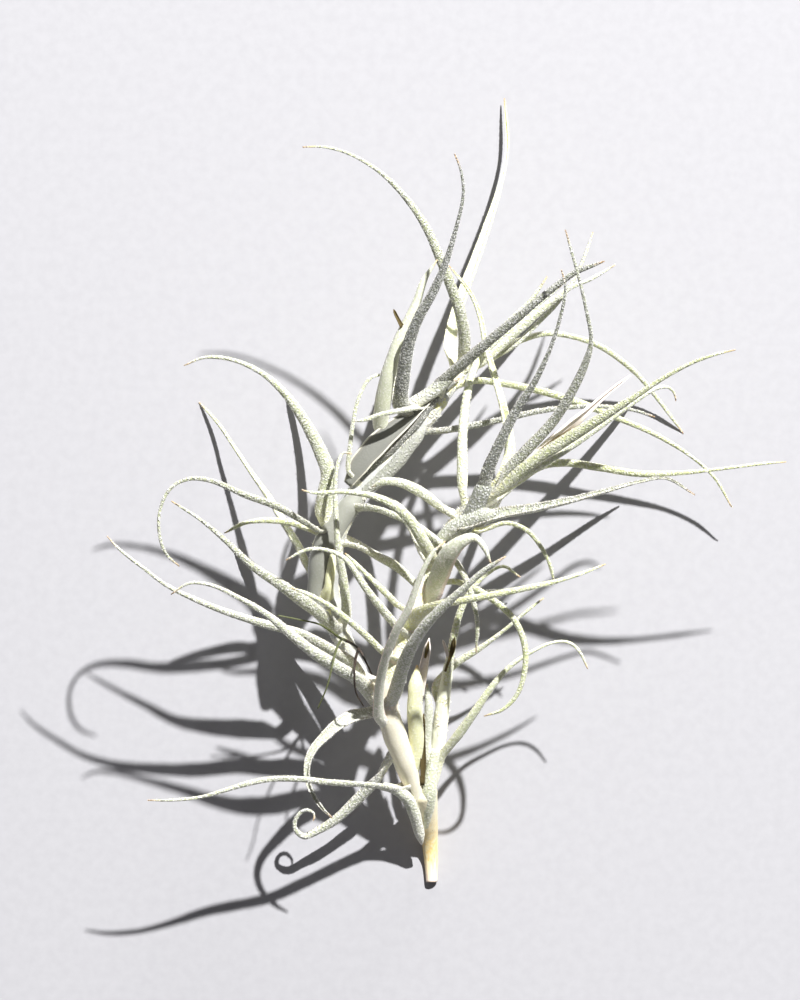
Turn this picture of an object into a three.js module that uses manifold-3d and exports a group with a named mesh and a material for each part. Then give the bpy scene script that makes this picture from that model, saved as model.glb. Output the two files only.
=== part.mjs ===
// A clump of the paleacea air plant, lying on a surface: a forked old stem with leafy shoots.
// Millimetres. +Z is up, away from the surface; +Y runs from the cut end to the leaf tips.
import * as THREE from 'three';
import { mergeVertices } from 'three/addons/utils/BufferGeometryUtils.js';
import Module from 'manifold-3d';

const wasm = await Module();
wasm.setup();

// Leaf blade: a strap folded into a channel, which faces the shoot's tip and closes towards its own.
const BLADE_THICKNESS = 0.7;
const LEAST_THICKNESS = 0.6;
const LEAST_WIDTH = 0.9;
const CHANNEL_ANGLE = 72;
const FLAT_BELOW_WIDTH = 0.8;
const CHANNELLED_FROM_WIDTH = 3;
const RINGS_PER_POINT = 1.5;

// Stems are covered in closed leaf sheaths, so they are drawn by their outer diameter.
const STEM_SIDES = 9;
const ROOT_SIDES = 6;
const RINGS_PER_STEM_POINT = 1.25;

// The cut end of the old stem is hollow.
const PITH_SHARE = 0.62;
const PITH_DEPTH = 1.4;

const COLOURS = {
  bark: '#D9AC55',
  leaf: '#BCC3A6',
  youngLeaf: '#C6CF9C',
  drySpike: '#A9805E',
  root: '#3B2A1E',
};

const toward = new THREE.Vector3(0, 0, 1);
const shootAxis = new THREE.Vector3(0, 1, 0);

// Leaves that have turned their channel away from the shoot's axis, with the way that it faces.
const TURNED_CHANNELS = {
  bentTip: [0.6, -0.2, -1],
  hangingLow: [0, 0.5, 1],
  roseLowRight: [0.2, 0.6, 0.8],
  roseUpLeft: [0.6, 0, -1],
  upright: [0.6, 0, -1],
  archedOut: [-0.6, -0.2, -1],
  greySheath: [-0.6, 0.6, 0.5],
};

// Every route is a list of points [x, y, z, width].
// Old stem, from the cut end to the fork.
const OLD_STEM = [
  [-3.5, -98.5, 0.9, 2.8], [-3.75, -92.5, 1.3, 3.5], [-4.1, -87, 4, 4.2], [-4.75, -81.5, 9, 5.4],
  [-5.7, -75.9, 14.2, 7.2],
];

// Main shoot: stem from the fork to the heart of the right rosette.
const MAIN_STEM = [
  [-8, -75.3, 15.4, 4], [-10.25, -69.5, 19, 4.6], [-12.25, -63.5, 24, 4.8], [-14, -58, 28, 5.4],
  [-14.75, -53, 31, 5.6], [-13.5, -47.5, 34, 5], [-11.25, -41.25, 36, 4.4], [-9.25, -35.5, 38, 4],
  [-7.25, -28.5, 40, 3.8], [-4.5, -22.5, 41, 4], [-1.25, -16.5, 43, 4.8], [2.25, -10.5, 46, 5.6],
  [6, -5.5, 49, 5.4], [8.8, -1.9, 52, 3.6],
];
const MAIN_LEAVES = {
  longLow: [
    [-15.75, -51.75, 31, 4], [-20.25, -47.5, 31.5, 4], [-24.75, -42.75, 35, 3.8], [-29, -40, 38.5, 3.4],
    [-36.5, -35.9, 43, 2.8], [-45.15, -33.55, 47, 2.3], [-55.15, -30.35, 50.5, 1.8],
    [-62.75, -27.25, 53, 1.4], [-69.75, -23.75, 54.5, 1.1], [-75.75, -19.25, 55.5, 0.9],
    [-81.5, -14.75, 56, 0.8], [-84.5, -11.5, 56, 0.8],
  ],
  broadLow: [
    [-15, -55.5, 29, 4], [-18, -53.5, 32, 4.1], [-21.7, -48.05, 38, 4], [-26.8, -44.75, 44, 3.6],
    [-32.95, -40.9, 49, 3.1], [-39, -36, 53, 2.5], [-44.5, -31.25, 56, 1.8], [-51.5, -27, 58.5, 1.3],
    [-58.5, -23.75, 60, 1], [-64, -23.25, 60, 0.8], [-68.5, -26, 58.5, 0.8],
  ],
  hangingLow: [
    [-14.5, -56.5, 28, 2.8], [-17.75, -56.75, 28.5, 3.3], [-22.75, -56.75, 30.5, 3.5],
    [-26.5, -58.5, 32, 3.2], [-30.25, -61.75, 33, 2.6], [-33.5, -65.5, 33.5, 2.1],
    [-34.75, -69.5, 33.5, 1.7], [-34, -74.5, 32.5, 1.3], [-31, -79.5, 31, 0.9], [-28.5, -82, 30, 0.8],
  ],
  curledLow: [
    [-11.5, -66.75, 21, 3], [-13.25, -67.25, 20, 3.4], [-17.75, -73.25, 16, 3.4],
    [-21.5, -77.25, 13.5, 3], [-27.75, -83, 11, 2.5], [-32, -85.5, 10.5, 2.1], [-35.75, -87, 11, 1.7],
    [-38, -84.75, 12, 1.2], [-37.25, -81.75, 13, 0.9], [-35, -80.25, 14, 0.8], [-33, -81.25, 15, 0.8],
    [-33.25, -83, 15.5, 0.8],
  ],
  straightLow: [
    [-8, -76.3, 16, 2.8], [-11, -75.75, 19, 2.7], [-16.5, -74.25, 25, 2.5], [-24, -73.5, 32, 2.1],
    [-30.25, -73, 37, 1.9], [-36.5, -72.25, 40, 1.8], [-44, -72.25, 42, 1.6], [-50.25, -73.5, 43, 1.4],
    [-55.25, -75, 43, 1.1], [-61.5, -76.75, 42.5, 0.9], [-69, -77.5, 42, 0.8], [-74.5, -77.5, 41, 0.8],
  ],
  frontPink: [
    [-14.5, -61.25, 27, 3.2], [-16.5, -58, 32, 3.2], [-16.75, -52.5, 38, 2.8], [-16, -46.25, 45, 2.5],
    [-14.75, -41.25, 51, 2.3], [-12.25, -35, 58, 2.2], [-9.25, -29.5, 63, 2], [-7.25, -23.75, 67, 1.6],
    [-5.25, -19, 70, 1.3], [-3, -15.25, 72, 1], [-0.25, -12.75, 73, 0.8],
  ],
  frontSilver: [
    [-13.75, -55.75, 30, 3.4], [-11.75, -48.5, 40, 3.7], [-10.25, -43.5, 47, 3.5], [-8.25, -39, 53, 3.2],
    [-5.25, -34.25, 59, 2.9], [-1, -29.5, 65, 2.4], [4.75, -24.25, 71, 1.8], [9.25, -20.25, 75, 1.4],
    [12.75, -17.75, 78, 1.1], [14.75, -16.5, 79, 0.8],
  ],
  midRight: [
    [-9.25, -36, 39, 3], [-7.95, -33.2, 43, 3.8], [-5.5, -30.15, 47, 3.8], [-1.3, -28.55, 50.5, 3],
    [4.75, -27.45, 53.5, 2.2], [13.5, -25.75, 55, 1.8], [23.5, -23.75, 54, 1.4], [31, -21.75, 52, 1],
    [36, -20, 50.5, 0.8], [39.75, -18.5, 49, 0.8],
  ],
  shortLeft: [
    [-12, -44.5, 35.5, 2.2], [-13.5, -43, 39, 2.1], [-19, -37.5, 43.5, 1.8], [-24, -33, 47, 1.6],
    [-29, -29, 49.5, 1.3], [-35.5, -25.5, 51, 1], [-38.5, -24.5, 51, 0.8],
  ],
  hookLeft: [
    [-9.75, -38.75, 37.5, 2.4], [-10.25, -37, 40, 2.4], [-15.25, -31, 46, 2.3], [-20.25, -24.5, 51, 1.9],
    [-25.25, -17.25, 54.5, 1.4], [-29, -15.25, 55.5, 1.1], [-34, -14.75, 55.5, 0.9],
    [-40, -17.5, 54, 0.8],
  ],
  innerLeft: [
    [-8.25, -33, 39, 2], [-11, -30.5, 41.5, 2], [-13.5, -27.5, 44, 1.8], [-16.5, -24.5, 46, 1.6],
    [-20.25, -20.75, 47.5, 1.2], [-25.25, -15.75, 49, 0.8],
  ],
  bentTip: [
    [-5, -28.5, 39.5, 4.2], [-3.5, -24.5, 44, 5], [-2, -20.5, 48.5, 5.2], [-0.5, -17.25, 53, 5.2],
    [1.5, -14.5, 57, 4.4], [4.25, -12.5, 59.5, 3.2], [7, -11.75, 60.5, 2], [9.25, -14, 60, 1.5],
    [11.2, -18.4, 58, 0.9],
  ],
  longLeft: [
    [-4, -21, 42, 3.4], [-4.75, -15.45, 48, 3.6], [-6.5, -12.1, 51, 3.2], [-9.1, -7.85, 53.5, 2.8],
    [-12.75, -4.25, 55.5, 2.4], [-17.75, -1.75, 57, 1.8], [-25.25, -0.5, 58, 1.3],
    [-32.75, -0.75, 57.5, 0.9], [-36, 0, 57, 0.8],
  ],
  hangingRight: [
    [-6, -25.5, 40.5, 2], [-2.25, -23.75, 43.65, 2], [2.25, -23, 45, 2], [7.25, -24.75, 46, 2],
    [13, -28.5, 46.5, 1.9], [17, -32.5, 46, 1.7], [19.25, -37.5, 45, 1.6], [19.75, -43.25, 43.5, 1.5],
    [18, -50.5, 41, 1.2], [14.25, -54.75, 39, 0.9], [9.5, -56.5, 37, 0.8],
  ],
  yellowSheath: [
    [-7.25, -74, 16.5, 3], [-7.25, -67.5, 21.5, 3.8], [-7.5, -61.25, 25, 4.2],
    [-7.9, -55.5, 28.3, 4], [-7.6, -49.5, 30.6, 3.9], [-7.2, -43.8, 32, 1.4],
  ],
  roseUpLeft: [
    [4, -7, 47.5, 2.8], [3.75, 0, 50, 2.8], [3.75, 7.5, 50, 2.7], [4, 15, 48, 2.5], [5, 23.5, 44.5, 2.2],
    [6.5, 29.5, 42, 2], [10.5, 36.25, 40.5, 1.7], [16, 42.5, 41, 1.4], [21, 47.25, 42, 1],
    [25.25, 53.25, 43, 0.8],
  ],
  roseUp: [
    [10, -3.25, 50, 3], [13.5, 2, 53, 3.3], [15.5, 8.75, 53, 2.9], [15.25, 15, 51, 2.4],
    [13.75, 22, 48.5, 2], [11.5, 30, 45.5, 1.8], [9.75, 36.25, 44.3, 1.6], [8.5, 43, 43.5, 1.3],
    [6, 49.25, 43, 1], [0.75, 56, 42.5, 0.8],
  ],
  roseSilver: [
    [7, -5, 50, 3.2], [9.25, 0, 55, 3.4], [11, 5.5, 60, 3.3], [14, 12.3, 66, 2.8], [17.85, 20.2, 72, 2.4],
    [21.7, 26.1, 77, 1.8], [25.75, 34.8, 83, 1.1], [28.5, 43.75, 88, 0.9], [29.5, 50, 90, 0.8],
    [28.5, 54.5, 91, 0.8],
  ],
  roseTall: [
    [10.25, -2.25, 51, 3], [15.5, 4.5, 56, 3.2], [21, 10.5, 60, 2.9], [26.5, 16.5, 64, 2.7],
    [31, 23.5, 70, 2.5], [34.75, 31.5, 76, 2], [36, 37, 80, 1.1], [34.75, 44.5, 84, 0.9],
    [32.75, 53, 87, 0.8], [29.5, 64.5, 88, 0.8],
  ],
  roseBroadRight: [
    [9.5, -4.5, 50, 3.6], [14.45, 0.5, 55, 3.7], [20.2, 5.65, 59, 3.5], [28.2, 11.15, 63, 3.3],
    [38.4, 17.6, 69, 2.6], [46, 22.5, 74, 1.7], [53.5, 27.5, 78, 1.2], [61, 31.5, 81, 0.9],
    [66.5, 33.5, 83, 0.8], [71.75, 34.75, 84, 0.8],
  ],
  roseShortLeft: [
    [3.75, -9.25, 45, 2.6], [0.75, -6.25, 47.5, 2.6], [-2.75, -3.25, 49, 2.8], [-7, -0.25, 50, 2.8],
    [-11.5, 1.75, 50, 2.4], [-15.75, 2, 49, 1.8], [-18.5, 0.75, 48, 0.9],
  ],
  roseFarRight: [
    [8, -4, 50, 2.8], [17.25, 1.5, 49, 2.9], [23.5, 5.75, 49.5, 2.8], [29.75, 6.75, 50.5, 2.6],
    [38.5, 5.5, 52, 2.3], [48.5, 4, 53.5, 1.9], [58.5, 4.25, 54.5, 1.2], [68.5, 5.25, 55, 0.8],
    [78.5, 6.5, 55, 0.8], [84.75, 7, 54.5, 0.8],
  ],
  roseHook: [
    [10.5, -3.25, 50.5, 2.2], [17.25, 2, 53, 2], [24.75, 6.5, 54.8, 1.8], [33.5, 12.25, 57, 1.6],
    [41.5, 18, 58, 1.4], [47.75, 22.5, 58, 1.2], [52.25, 25.25, 57.5, 1], [55.25, 25.6, 57, 0.9],
    [56.75, 24.25, 56, 0.8], [57.25, 22.25, 55, 0.8],
  ],
  roseLowRight: [
    [0, -13.75, 44, 3.3], [3, -10, 49.5, 3.5], [7.5, -7.75, 53, 3.2], [13.5, -6, 55, 3],
    [22.25, -4.5, 57, 2.3], [32.25, -2.25, 58, 1.6], [39.75, -0.25, 58, 1.2], [48.5, 2.1, 57, 0.9],
    [54.75, 2.9, 56, 0.8], [62, -1.25, 54, 0.8],
  ],
  roseDrooping: [
    [3, -10.5, 44.5, 1.7], [6.5, -11.75, 44, 1.7], [10.25, -9.75, 44.5, 1.6], [15.25, -8.25, 45, 1.5],
    [20, -10, 44.5, 1.3], [23.5, -14, 42.5, 1.1], [25.75, -18.25, 40, 0.9], [27, -23, 37, 0.8],
  ],
  backHeart: [
    [3, -9.5, 45, 3.2], [7, -9.2, 39, 3.4], [10.5, -6.5, 32.5, 3], [13.3, -1.5, 26, 2.6],
    [15, 4, 19.5, 2], [15.6, 9.5, 13, 1.4], [15.2, 14.5, 7.5, 0.9],
  ],
  backBroadRight: [
    [6.5, -5.5, 47, 3.2], [12, -2.5, 41, 3.4], [18.5, 3, 35, 3.4], [27, 9.5, 28, 3],
    [36.5, 16, 19, 2.4], [42.5, 20, 10.5, 1.8], [46.3, 22.6, 4, 1.3], [48, 23.8, 0, 1.1],
  ],
  backLowRight: [
    [3.5, -9.5, 44, 3], [8.5, -8, 37, 3.2], [15, -6, 31, 3], [23.5, -4.3, 24, 2.4],
    [32.5, -2.3, 17, 1.7], [40, -0.3, 11, 1.2], [46, 1.3, 7, 0.9],
  ],
  backLeftward: [
    [-4.5, -21, 39.5, 3], [-6, -15, 33, 3.2], [-8.8, -9, 26.5, 3], [-12.4, -4.3, 20, 2.4],
    [-17, -1.8, 13.5, 1.6], [-22.5, -0.7, 8, 1.1], [-27, -0.6, 4.5, 0.9],
  ],
  backNeck: [
    [-11.25, -41.25, 34, 3], [-9.6, -38.5, 28, 3.4], [-6.6, -33.6, 22, 3.2], [-1.6, -29.2, 17, 2.6],
    [4.5, -26.5, 12, 1.8], [11, -25.6, 7.5, 1.2], [17, -25, 4.5, 0.9],
  ],
  backLowLeft: [
    [-14, -57.5, 26.5, 3], [-17.4, -54, 21.5, 3.4], [-21.5, -48.8, 17.5, 3.4], [-27.5, -43.4, 13.5, 3],
    [-34.5, -38.6, 9, 2.2], [-41, -34.9, 4.5, 1.5], [-46.5, -33, 1, 0.9],
  ],
};

// Left shoot: a stem that bows out to the left and ends in the upper rosette.
const LEFT_STEM = [
  [-17.5, -53, 27.9, 2.4], [-20.75, -46.5, 25, 2.8], [-23.5, -41.25, 26, 3.6], [-27.25, -34.5, 28, 5],
  [-30, -27.5, 30, 7], [-30.75, -20.75, 32.5, 7.6], [-29.5, -14.25, 35, 7.4], [-27.25, -8.75, 37, 6.2],
  [-24.25, -4, 38, 5.2], [-21, 0.5, 38.5, 5], [-16.5, 6.5, 39, 5.6], [-10.75, 13, 39, 6.4],
  [-5.25, 19.5, 38, 6.4], [-0.25, 25.5, 36, 5.2], [4, 30.5, 34, 3.2],
];
const LEFT_LEAVES = {
  archedOut: [
    [-30, -12.5, 36.5, 4], [-30.75, -8, 39.5, 4.5], [-29.75, -2, 42, 4.6], [-29, 4.25, 45, 4],
    [-31.5, 10.5, 48.5, 3.4], [-35.25, 17.5, 53, 2.8], [-40.25, 24.25, 57, 2], [-46, 29.25, 59.5, 1.4],
    [-53.5, 32.5, 61, 1], [-60.25, 33, 61, 0.8], [-65.25, 31, 60, 0.8],
  ],
  bigHook: [
    [-29.25, -12.75, 36, 2.1], [-32.5, -10, 41.5, 2.2], [-36.5, -7.5, 46.5, 2.1], [-42.75, -4, 52, 2.1],
    [-50.25, -1.25, 56, 1.8], [-58.5, 2.25, 59, 1.3], [-64, 2.75, 60, 1], [-68.5, 0.5, 60, 0.9],
    [-71.25, -5, 59, 0.8], [-71.25, -12, 57.5, 0.8], [-69.5, -16.25, 56, 0.8], [-66.5, -19, 54.5, 0.8],
  ],
  proppingLeft: [
    [-31.5, -25, 31, 2.2], [-34.5, -20, 29, 2.2], [-37, -14.5, 26.5, 2.1], [-40.5, -8.75, 22, 2],
    [-44, -2.75, 18, 1.8], [-49, 4.5, 12.5, 1.2], [-53.5, 11.25, 8, 1], [-57.25, 16.75, 4, 0.9],
    [-62, 22, 0, 0.8],
  ],
  smallLeft: [
    [-30, -14, 36, 2.2], [-33, -11, 38, 2.2], [-37, -8.75, 40, 2], [-43.5, -7.6, 43, 1.6],
    [-50.25, -8.25, 44.5, 1], [-55.25, -10.75, 44.5, 0.8],
  ],
  behindMain: [
    [-26.5, -14.5, 35, 2.6], [-21.5, -14.5, 35, 2.8], [-17.75, -16.25, 34.5, 2.8],
    [-12.75, -19, 33.5, 2.5], [-8.5, -22.75, 32.5, 1.8], [-5.5, -26.5, 31, 0.8],
  ],
  archedOver: [
    [-25.25, -7, 38, 2.5], [-21.25, -4.75, 42.5, 2.7], [-17, -4.9, 46, 2.5], [-11.5, -7, 48.5, 2.2],
    [-6.5, -9.5, 49.5, 2], [-1.5, -13.25, 50, 1.8], [1.75, -17, 50, 1.7], [4.75, -21.75, 50.5, 1.6],
    [6.75, -27.75, 48.5, 1.4], [7.75, -33, 46, 1.1], [7.5, -40.75, 42, 0.8],
  ],
  upright: [
    [-25.6, -37, 27.5, 2.8], [-25, -32.5, 32.5, 2.8], [-25.25, -27.5, 36.5, 2.5], [-26, -21.25, 41, 2.2],
    [-27, -15, 44.5, 1.9], [-27.5, -7.5, 47.5, 1.4], [-27.75, 0, 49.5, 1.1], [-27.25, 5.5, 50.5, 0.9],
    [-25.75, 9.25, 50.5, 0.8], [-23.5, 9, 50, 0.8],
  ],
  broadOut: [
    [-26, -36.6, 28, 3.6], [-28, -35.2, 33, 3.8], [-32, -31, 38, 3.8], [-36.5, -27.5, 42, 3.6],
    [-41.5, -23.75, 46, 2.9], [-48.5, -19, 50, 2], [-55.25, -12.5, 53, 1.4], [-61.5, -7.25, 55, 0.9],
    [-68.5, -2.75, 55.5, 0.8],
  ],
  topRight: [
    [-4.5, 20.5, 39, 4], [-1.8, 25.3, 44, 3.8], [3.1, 30.15, 50, 3.1], [9.35, 35.65, 57, 2.7],
    [16.85, 41.9, 64, 2.4], [24.45, 48.3, 70, 1.9], [32.05, 53.95, 75, 1.5], [37.25, 56, 78, 1.2],
    [39.25, 56.75, 79, 0.9],
  ],
  topUpright: [
    [-11, 16.25, 40, 3.8], [-11.25, 21.25, 48, 4.1], [-10.5, 27.5, 55, 3.7], [-9.05, 36.15, 63, 3.2],
    [-6.6, 42.8, 69, 2.7], [-3.05, 49.15, 74, 2.4], [0, 56.5, 79, 1.8], [2.5, 65, 84, 1.1],
    [4.25, 73.75, 88, 0.8], [3.5, 79.5, 90, 0.8], [2, 83.25, 91, 0.8],
  ],
  topBehind: [
    [0.25, 28, 35, 3.4], [0.75, 34.5, 33, 3.4], [2.25, 42, 29, 3.2], [4.75, 50, 25, 2.9],
    [8, 58.75, 20, 2.6], [11.25, 68.25, 14.5, 2], [14, 77.5, 9.5, 1.2], [15.5, 86.25, 5.5, 0.9],
    [14.75, 98.5, 2.5, 0.8],
  ],
  topArchedLeft: [
    [2.5, 29, 36, 3], [4.25, 35.5, 42, 3.2], [3.5, 43, 48, 3], [1, 50.5, 53, 2.8], [-1.5, 57, 57, 2.6],
    [-5.25, 65.5, 61, 2.1], [-10.25, 72.75, 64, 1.6], [-16.5, 79, 66.5, 1.1], [-24, 83.5, 68, 0.8],
    [-30.25, 85.25, 68.5, 0.8], [-35.75, 85.25, 68.5, 0.8],
  ],
  longBehindRight: [
    [-2.25, 23, 36, 2.8], [1.5, 25.25, 36, 2.8], [7.25, 27.25, 34.5, 2.8], [14.75, 26.5, 32.5, 2.6],
    [23.5, 24.75, 30.5, 2.5], [33.5, 21.75, 28, 2], [43.5, 17.75, 25, 1.5], [52.25, 14, 22, 1.3],
    [61, 8.75, 18, 0.9], [67.25, 3.25, 15, 0.8], [71.75, -4.25, 11, 0.8],
  ],
  straightRight: [
    [-9, 13, 38, 2.8], [-4, 14.25, 38, 2.8], [3.5, 15.5, 37.5, 2.6], [13.5, 17.5, 37, 2],
    [23.5, 19.75, 36.5, 1.5], [32.25, 20.75, 36, 1.2], [41, 20.75, 35, 1], [47.75, 19.75, 34, 0.8],
    [52.25, 18.25, 33, 0.8],
  ],
  thinLeft: [
    [-4.5, 20.25, 40, 1.5], [-7.75, 20.25, 47.5, 1.5], [-11.5, 19.75, 52, 1.4], [-16.5, 18.75, 53, 1.2],
    [-21, 17.25, 53, 0.9], [-23, 17.25, 52.5, 0.8],
  ],
  topWhite: [
    [-15.5, 9.5, 38, 3.8], [-16.25, 14.5, 43, 4.2], [-15.5, 21.25, 49, 4.4], [-14.2, 28.4, 54, 4],
    [-11.7, 36.7, 58, 3.2], [-7.6, 45.7, 61, 2.5], [-5.35, 52.4, 63, 1.6], [-2.25, 57.25, 64, 0.8],
  ],
  proppingRight: [
    [2.25, 28.75, 34, 2.2], [9.75, 33.25, 33.5, 2.3], [16.5, 36.5, 30.5, 2.2], [24.75, 39.1, 27, 1.8],
    [32.25, 38.25, 23, 1.4], [38.5, 36, 19, 1.5], [43.5, 32.75, 15, 1.5], [48.5, 28.5, 10, 1.3],
    [53.5, 22.5, 5, 1], [59.75, 14.25, 0, 0.8],
  ],
  underTopRight: [
    [2.25, 28, 36, 2.6], [9.25, 31.75, 36.5, 2.7], [14.75, 36.75, 37, 2.7], [21, 42.5, 37.5, 2.5],
    [26, 46.75, 38.5, 1.8], [31, 50.5, 39, 1.2], [36, 52.6, 39, 0.9], [42.25, 56.25, 38.5, 0.8],
  ],
  slenderRight: [
    [3.5, 29, 33.5, 1.7], [11, 32.5, 33.5, 1.7], [17.25, 36.25, 34, 1.6], [22.25, 41, 34, 1.4],
    [28, 47, 34, 1.2], [32.25, 53, 34.5, 1], [35.25, 60, 35, 0.8], [36.75, 64.5, 34.5, 0.8],
  ],
  threadLeaf: [
    [-22.5, -0.75, 39, 1.2], [-24.5, 4, 43, 1.3], [-24, 10, 46, 1.2], [-23.25, 16.25, 48, 1],
    [-21.75, 23, 49.5, 0.9], [-18.75, 28, 50, 0.8], [-14.5, 28.9, 50, 0.8],
  ],
  yellowInner: [
    [-29.5, -29, 32, 2.4], [-29.25, -27.5, 35, 2.6], [-29, -23, 37, 2.8], [-28.5, -18.5, 38.5, 2.2],
    [-28, -14.5, 39.5, 1],
  ],
  greySheath: [
    [-22.5, -1.5, 38.5, 3], [-18.6, 6, 40.6, 5], [-13.2, 12, 41.4, 5.6], [-8, 17.2, 41.6, 5],
    [-3.8, 22.2, 41, 3.6], [-0.2, 25.5, 40, 2], [3.5, 28, 38.5, 1],
  ],
  backLeft: [
    [-29.25, -11, 35, 3], [-30.2, -6, 30, 3.2], [-29.6, 0, 24, 3], [-29.4, 5.5, 18, 2.6],
    [-31.8, 11.5, 12, 2.1], [-35.5, 18, 6, 1.6], [-40.25, 24.25, 0, 1.1],
  ],
  backLow: [
    [-28.4, -31.5, 27, 3], [-32.2, -30.6, 22, 3.2], [-36.7, -27.4, 17, 2.8], [-41.8, -23.5, 11.5, 2.2],
    [-48, -19.2, 5, 1.4], [-53, -14.8, 0.6, 0.9],
  ],
  backFoot: [
    [-29.7, -15, 33, 3], [-30.3, -19, 26, 3.2], [-30.4, -24, 18, 2.8], [-29.8, -29, 10.5, 2],
    [-28.4, -33.2, 4.5, 1.2], [-27, -35.5, 1, 0.9],
  ],
  backMiddle: [
    [-16.5, 6.5, 37.5, 3], [-14, 9.5, 31, 3.4], [-10.5, 13, 24, 3], [-7.5, 16.5, 16.5, 2.2],
    [-5, 20, 9, 1.4], [-3.2, 22.8, 3.5, 0.9],
  ],
  backTop: [
    [-5.25, 19.5, 36, 3], [-1, 25, 30, 3.4], [4, 30.2, 25, 3.4], [10.2, 35.6, 20, 3],
    [17.5, 41.8, 14.5, 2.2], [24.2, 47.6, 9.5, 1.4], [29.5, 51.8, 6, 0.9],
  ],
  backUpright: [
    [-9.5, 14.5, 37, 3], [-11.6, 20.5, 31, 3.4], [-11.4, 27.5, 25, 3.2], [-10, 35, 18.5, 2.6],
    [-7.6, 42, 12.5, 1.9], [-4.6, 48, 7.5, 1.2], [-2, 52, 4.5, 0.9],
  ],
};

// Right shoot: short and pale, beside the fork.
const RIGHT_STEM = [
  [-4, -74.4, 14.6, 3.4], [-2.5, -67.5, 17, 3.8], [-1.25, -57.5, 21, 3.6], [-0.25, -50, 24, 3],
  [0.75, -43.75, 26, 2.4],
];
const RIGHT_LEAVES = {
  hooked: [
    [-0.5, -53, 23, 2.2], [0.75, -45, 28, 2.3], [1.75, -38.75, 31, 2], [3.5, -31, 34, 1.8],
    [6, -25.75, 36, 1.4], [9.75, -21.5, 37.5, 0.9], [14.25, -19.1, 38, 0.8], [18.5, -21.75, 37, 0.8],
  ],
  crossing: [
    [-1, -55.5, 20, 2.1], [-3, -51, 20, 2.2], [-1, -47, 20.5, 2.4], [3, -43.25, 22, 2.3],
    [8.5, -39.75, 24, 1.5], [14.75, -35, 26.5, 0.9], [19.75, -30.75, 28, 0.8], [24.5, -27, 29, 0.8],
  ],
  archedRight: [
    [-1.5, -70.5, 16, 2.6], [0, -66, 19, 2.8], [3.5, -61.25, 23, 2.7], [7.5, -55.5, 27, 2.2],
    [11.5, -49.5, 30, 1.7], [16, -44.25, 32, 1.3], [21.5, -40.5, 33, 1], [26.5, -38.25, 33, 0.8],
    [30.5, -38.1, 32.5, 0.8], [33.25, -40.25, 31.5, 0.8], [35.5, -44.75, 30, 0.8],
  ],
  paleSheath: [
    [-4.5, -73.8, 16, 2.4], [-4.75, -68.75, 18.5, 2.5], [-4.75, -62.5, 21, 2.5], [-4.25, -55, 24, 2.3],
    [-4.75, -48.5, 26, 0.9],
  ],
};

// Dry flower spike, caught between two leaves of the right rosette.
const SPIKE = [
  [19.8, 6.3, 58.8, 1], [22.6, 9.8, 59, 1.2], [25.7, 12.5, 59.3, 1.6], [29, 14.7, 60.2, 2.5],
  [31.6, 16.9, 60.6, 2.8], [34.9, 19.6, 61.1, 2.2], [40.4, 24.4, 61.6, 1.1], [45.9, 28.6, 61.6, 0.8],
];

// Wiry roots at the foot of the left shoot.
const ROOTS = [
  [[-25.2, -37.6, 30.6, 1], [-23.2, -38.6, 33.6, 1], [-21.6, -40, 36, 1], [-20, -43, 36.8, 1],
    [-18.6, -46, 35.6, 0.9]],
  [[-21.8, -39.7, 35.7, 1], [-22.6, -42.2, 43, 1], [-22.9, -45.5, 46, 0.9], [-22.5, -50.5, 43, 0.9],
    [-20.6, -54, 40.5, 0.8]],
  [[-25.2, -37.6, 30.6, 1], [-26.6, -36.9, 35.5, 0.9], [-31.5, -33.6, 42, 0.8], [-36.5, -32.4, 44, 0.8],
    [-42, -31.3, 45, 0.8]],
  [[-25.2, -37.6, 30.6, 1], [-26, -37.3, 39, 0.9], [-27, -38.8, 46, 0.9], [-28, -42, 50.4, 0.8],
    [-29.6, -48.75, 50.6, 0.8], [-32, -54.5, 48, 0.8]],
];

function routeOf(points) {
  const places = points.map(([x, y, z]) => new THREE.Vector3(x, y, z));
  return new THREE.CatmullRomCurve3(places, false, 'centripetal');
}

// Width at a place along the route, in a straight line from point to point.
function widthAt(points, share) {
  const place = share * (points.length - 1);
  const before = Math.min(Math.floor(place), points.length - 2);
  return THREE.MathUtils.lerp(points[before][3], points[before + 1][3], place - before);
}

// Stations along a route, each with its own axes: along, up (the channelled side) and across.
function stationsOf(points, perPoint, facing = toward) {
  const route = routeOf(points);
  const steps = Math.round((points.length - 1) * perPoint);
  const stations = [];
  for (let i = 0; i <= steps; i += 1) {
    const share = i / steps;
    stations.push({
      place: route.getPoint(share),
      along: route.getTangent(share),
      width: widthAt(points, share),
    });
  }
  const middle = Math.floor(steps / 2);
  const square = (v, along) => v.clone().addScaledVector(along, -v.dot(along)).normalize();
  stations[middle].up = square(facing, stations[middle].along);
  for (let i = middle + 1; i <= steps; i += 1) {
    stations[i].up = square(stations[i - 1].up, stations[i].along);
  }
  for (let i = middle - 1; i >= 0; i -= 1) {
    stations[i].up = square(stations[i + 1].up, stations[i].along);
  }
  for (const station of stations) {
    station.across = station.up.clone().cross(station.along);
  }
  return stations;
}

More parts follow.
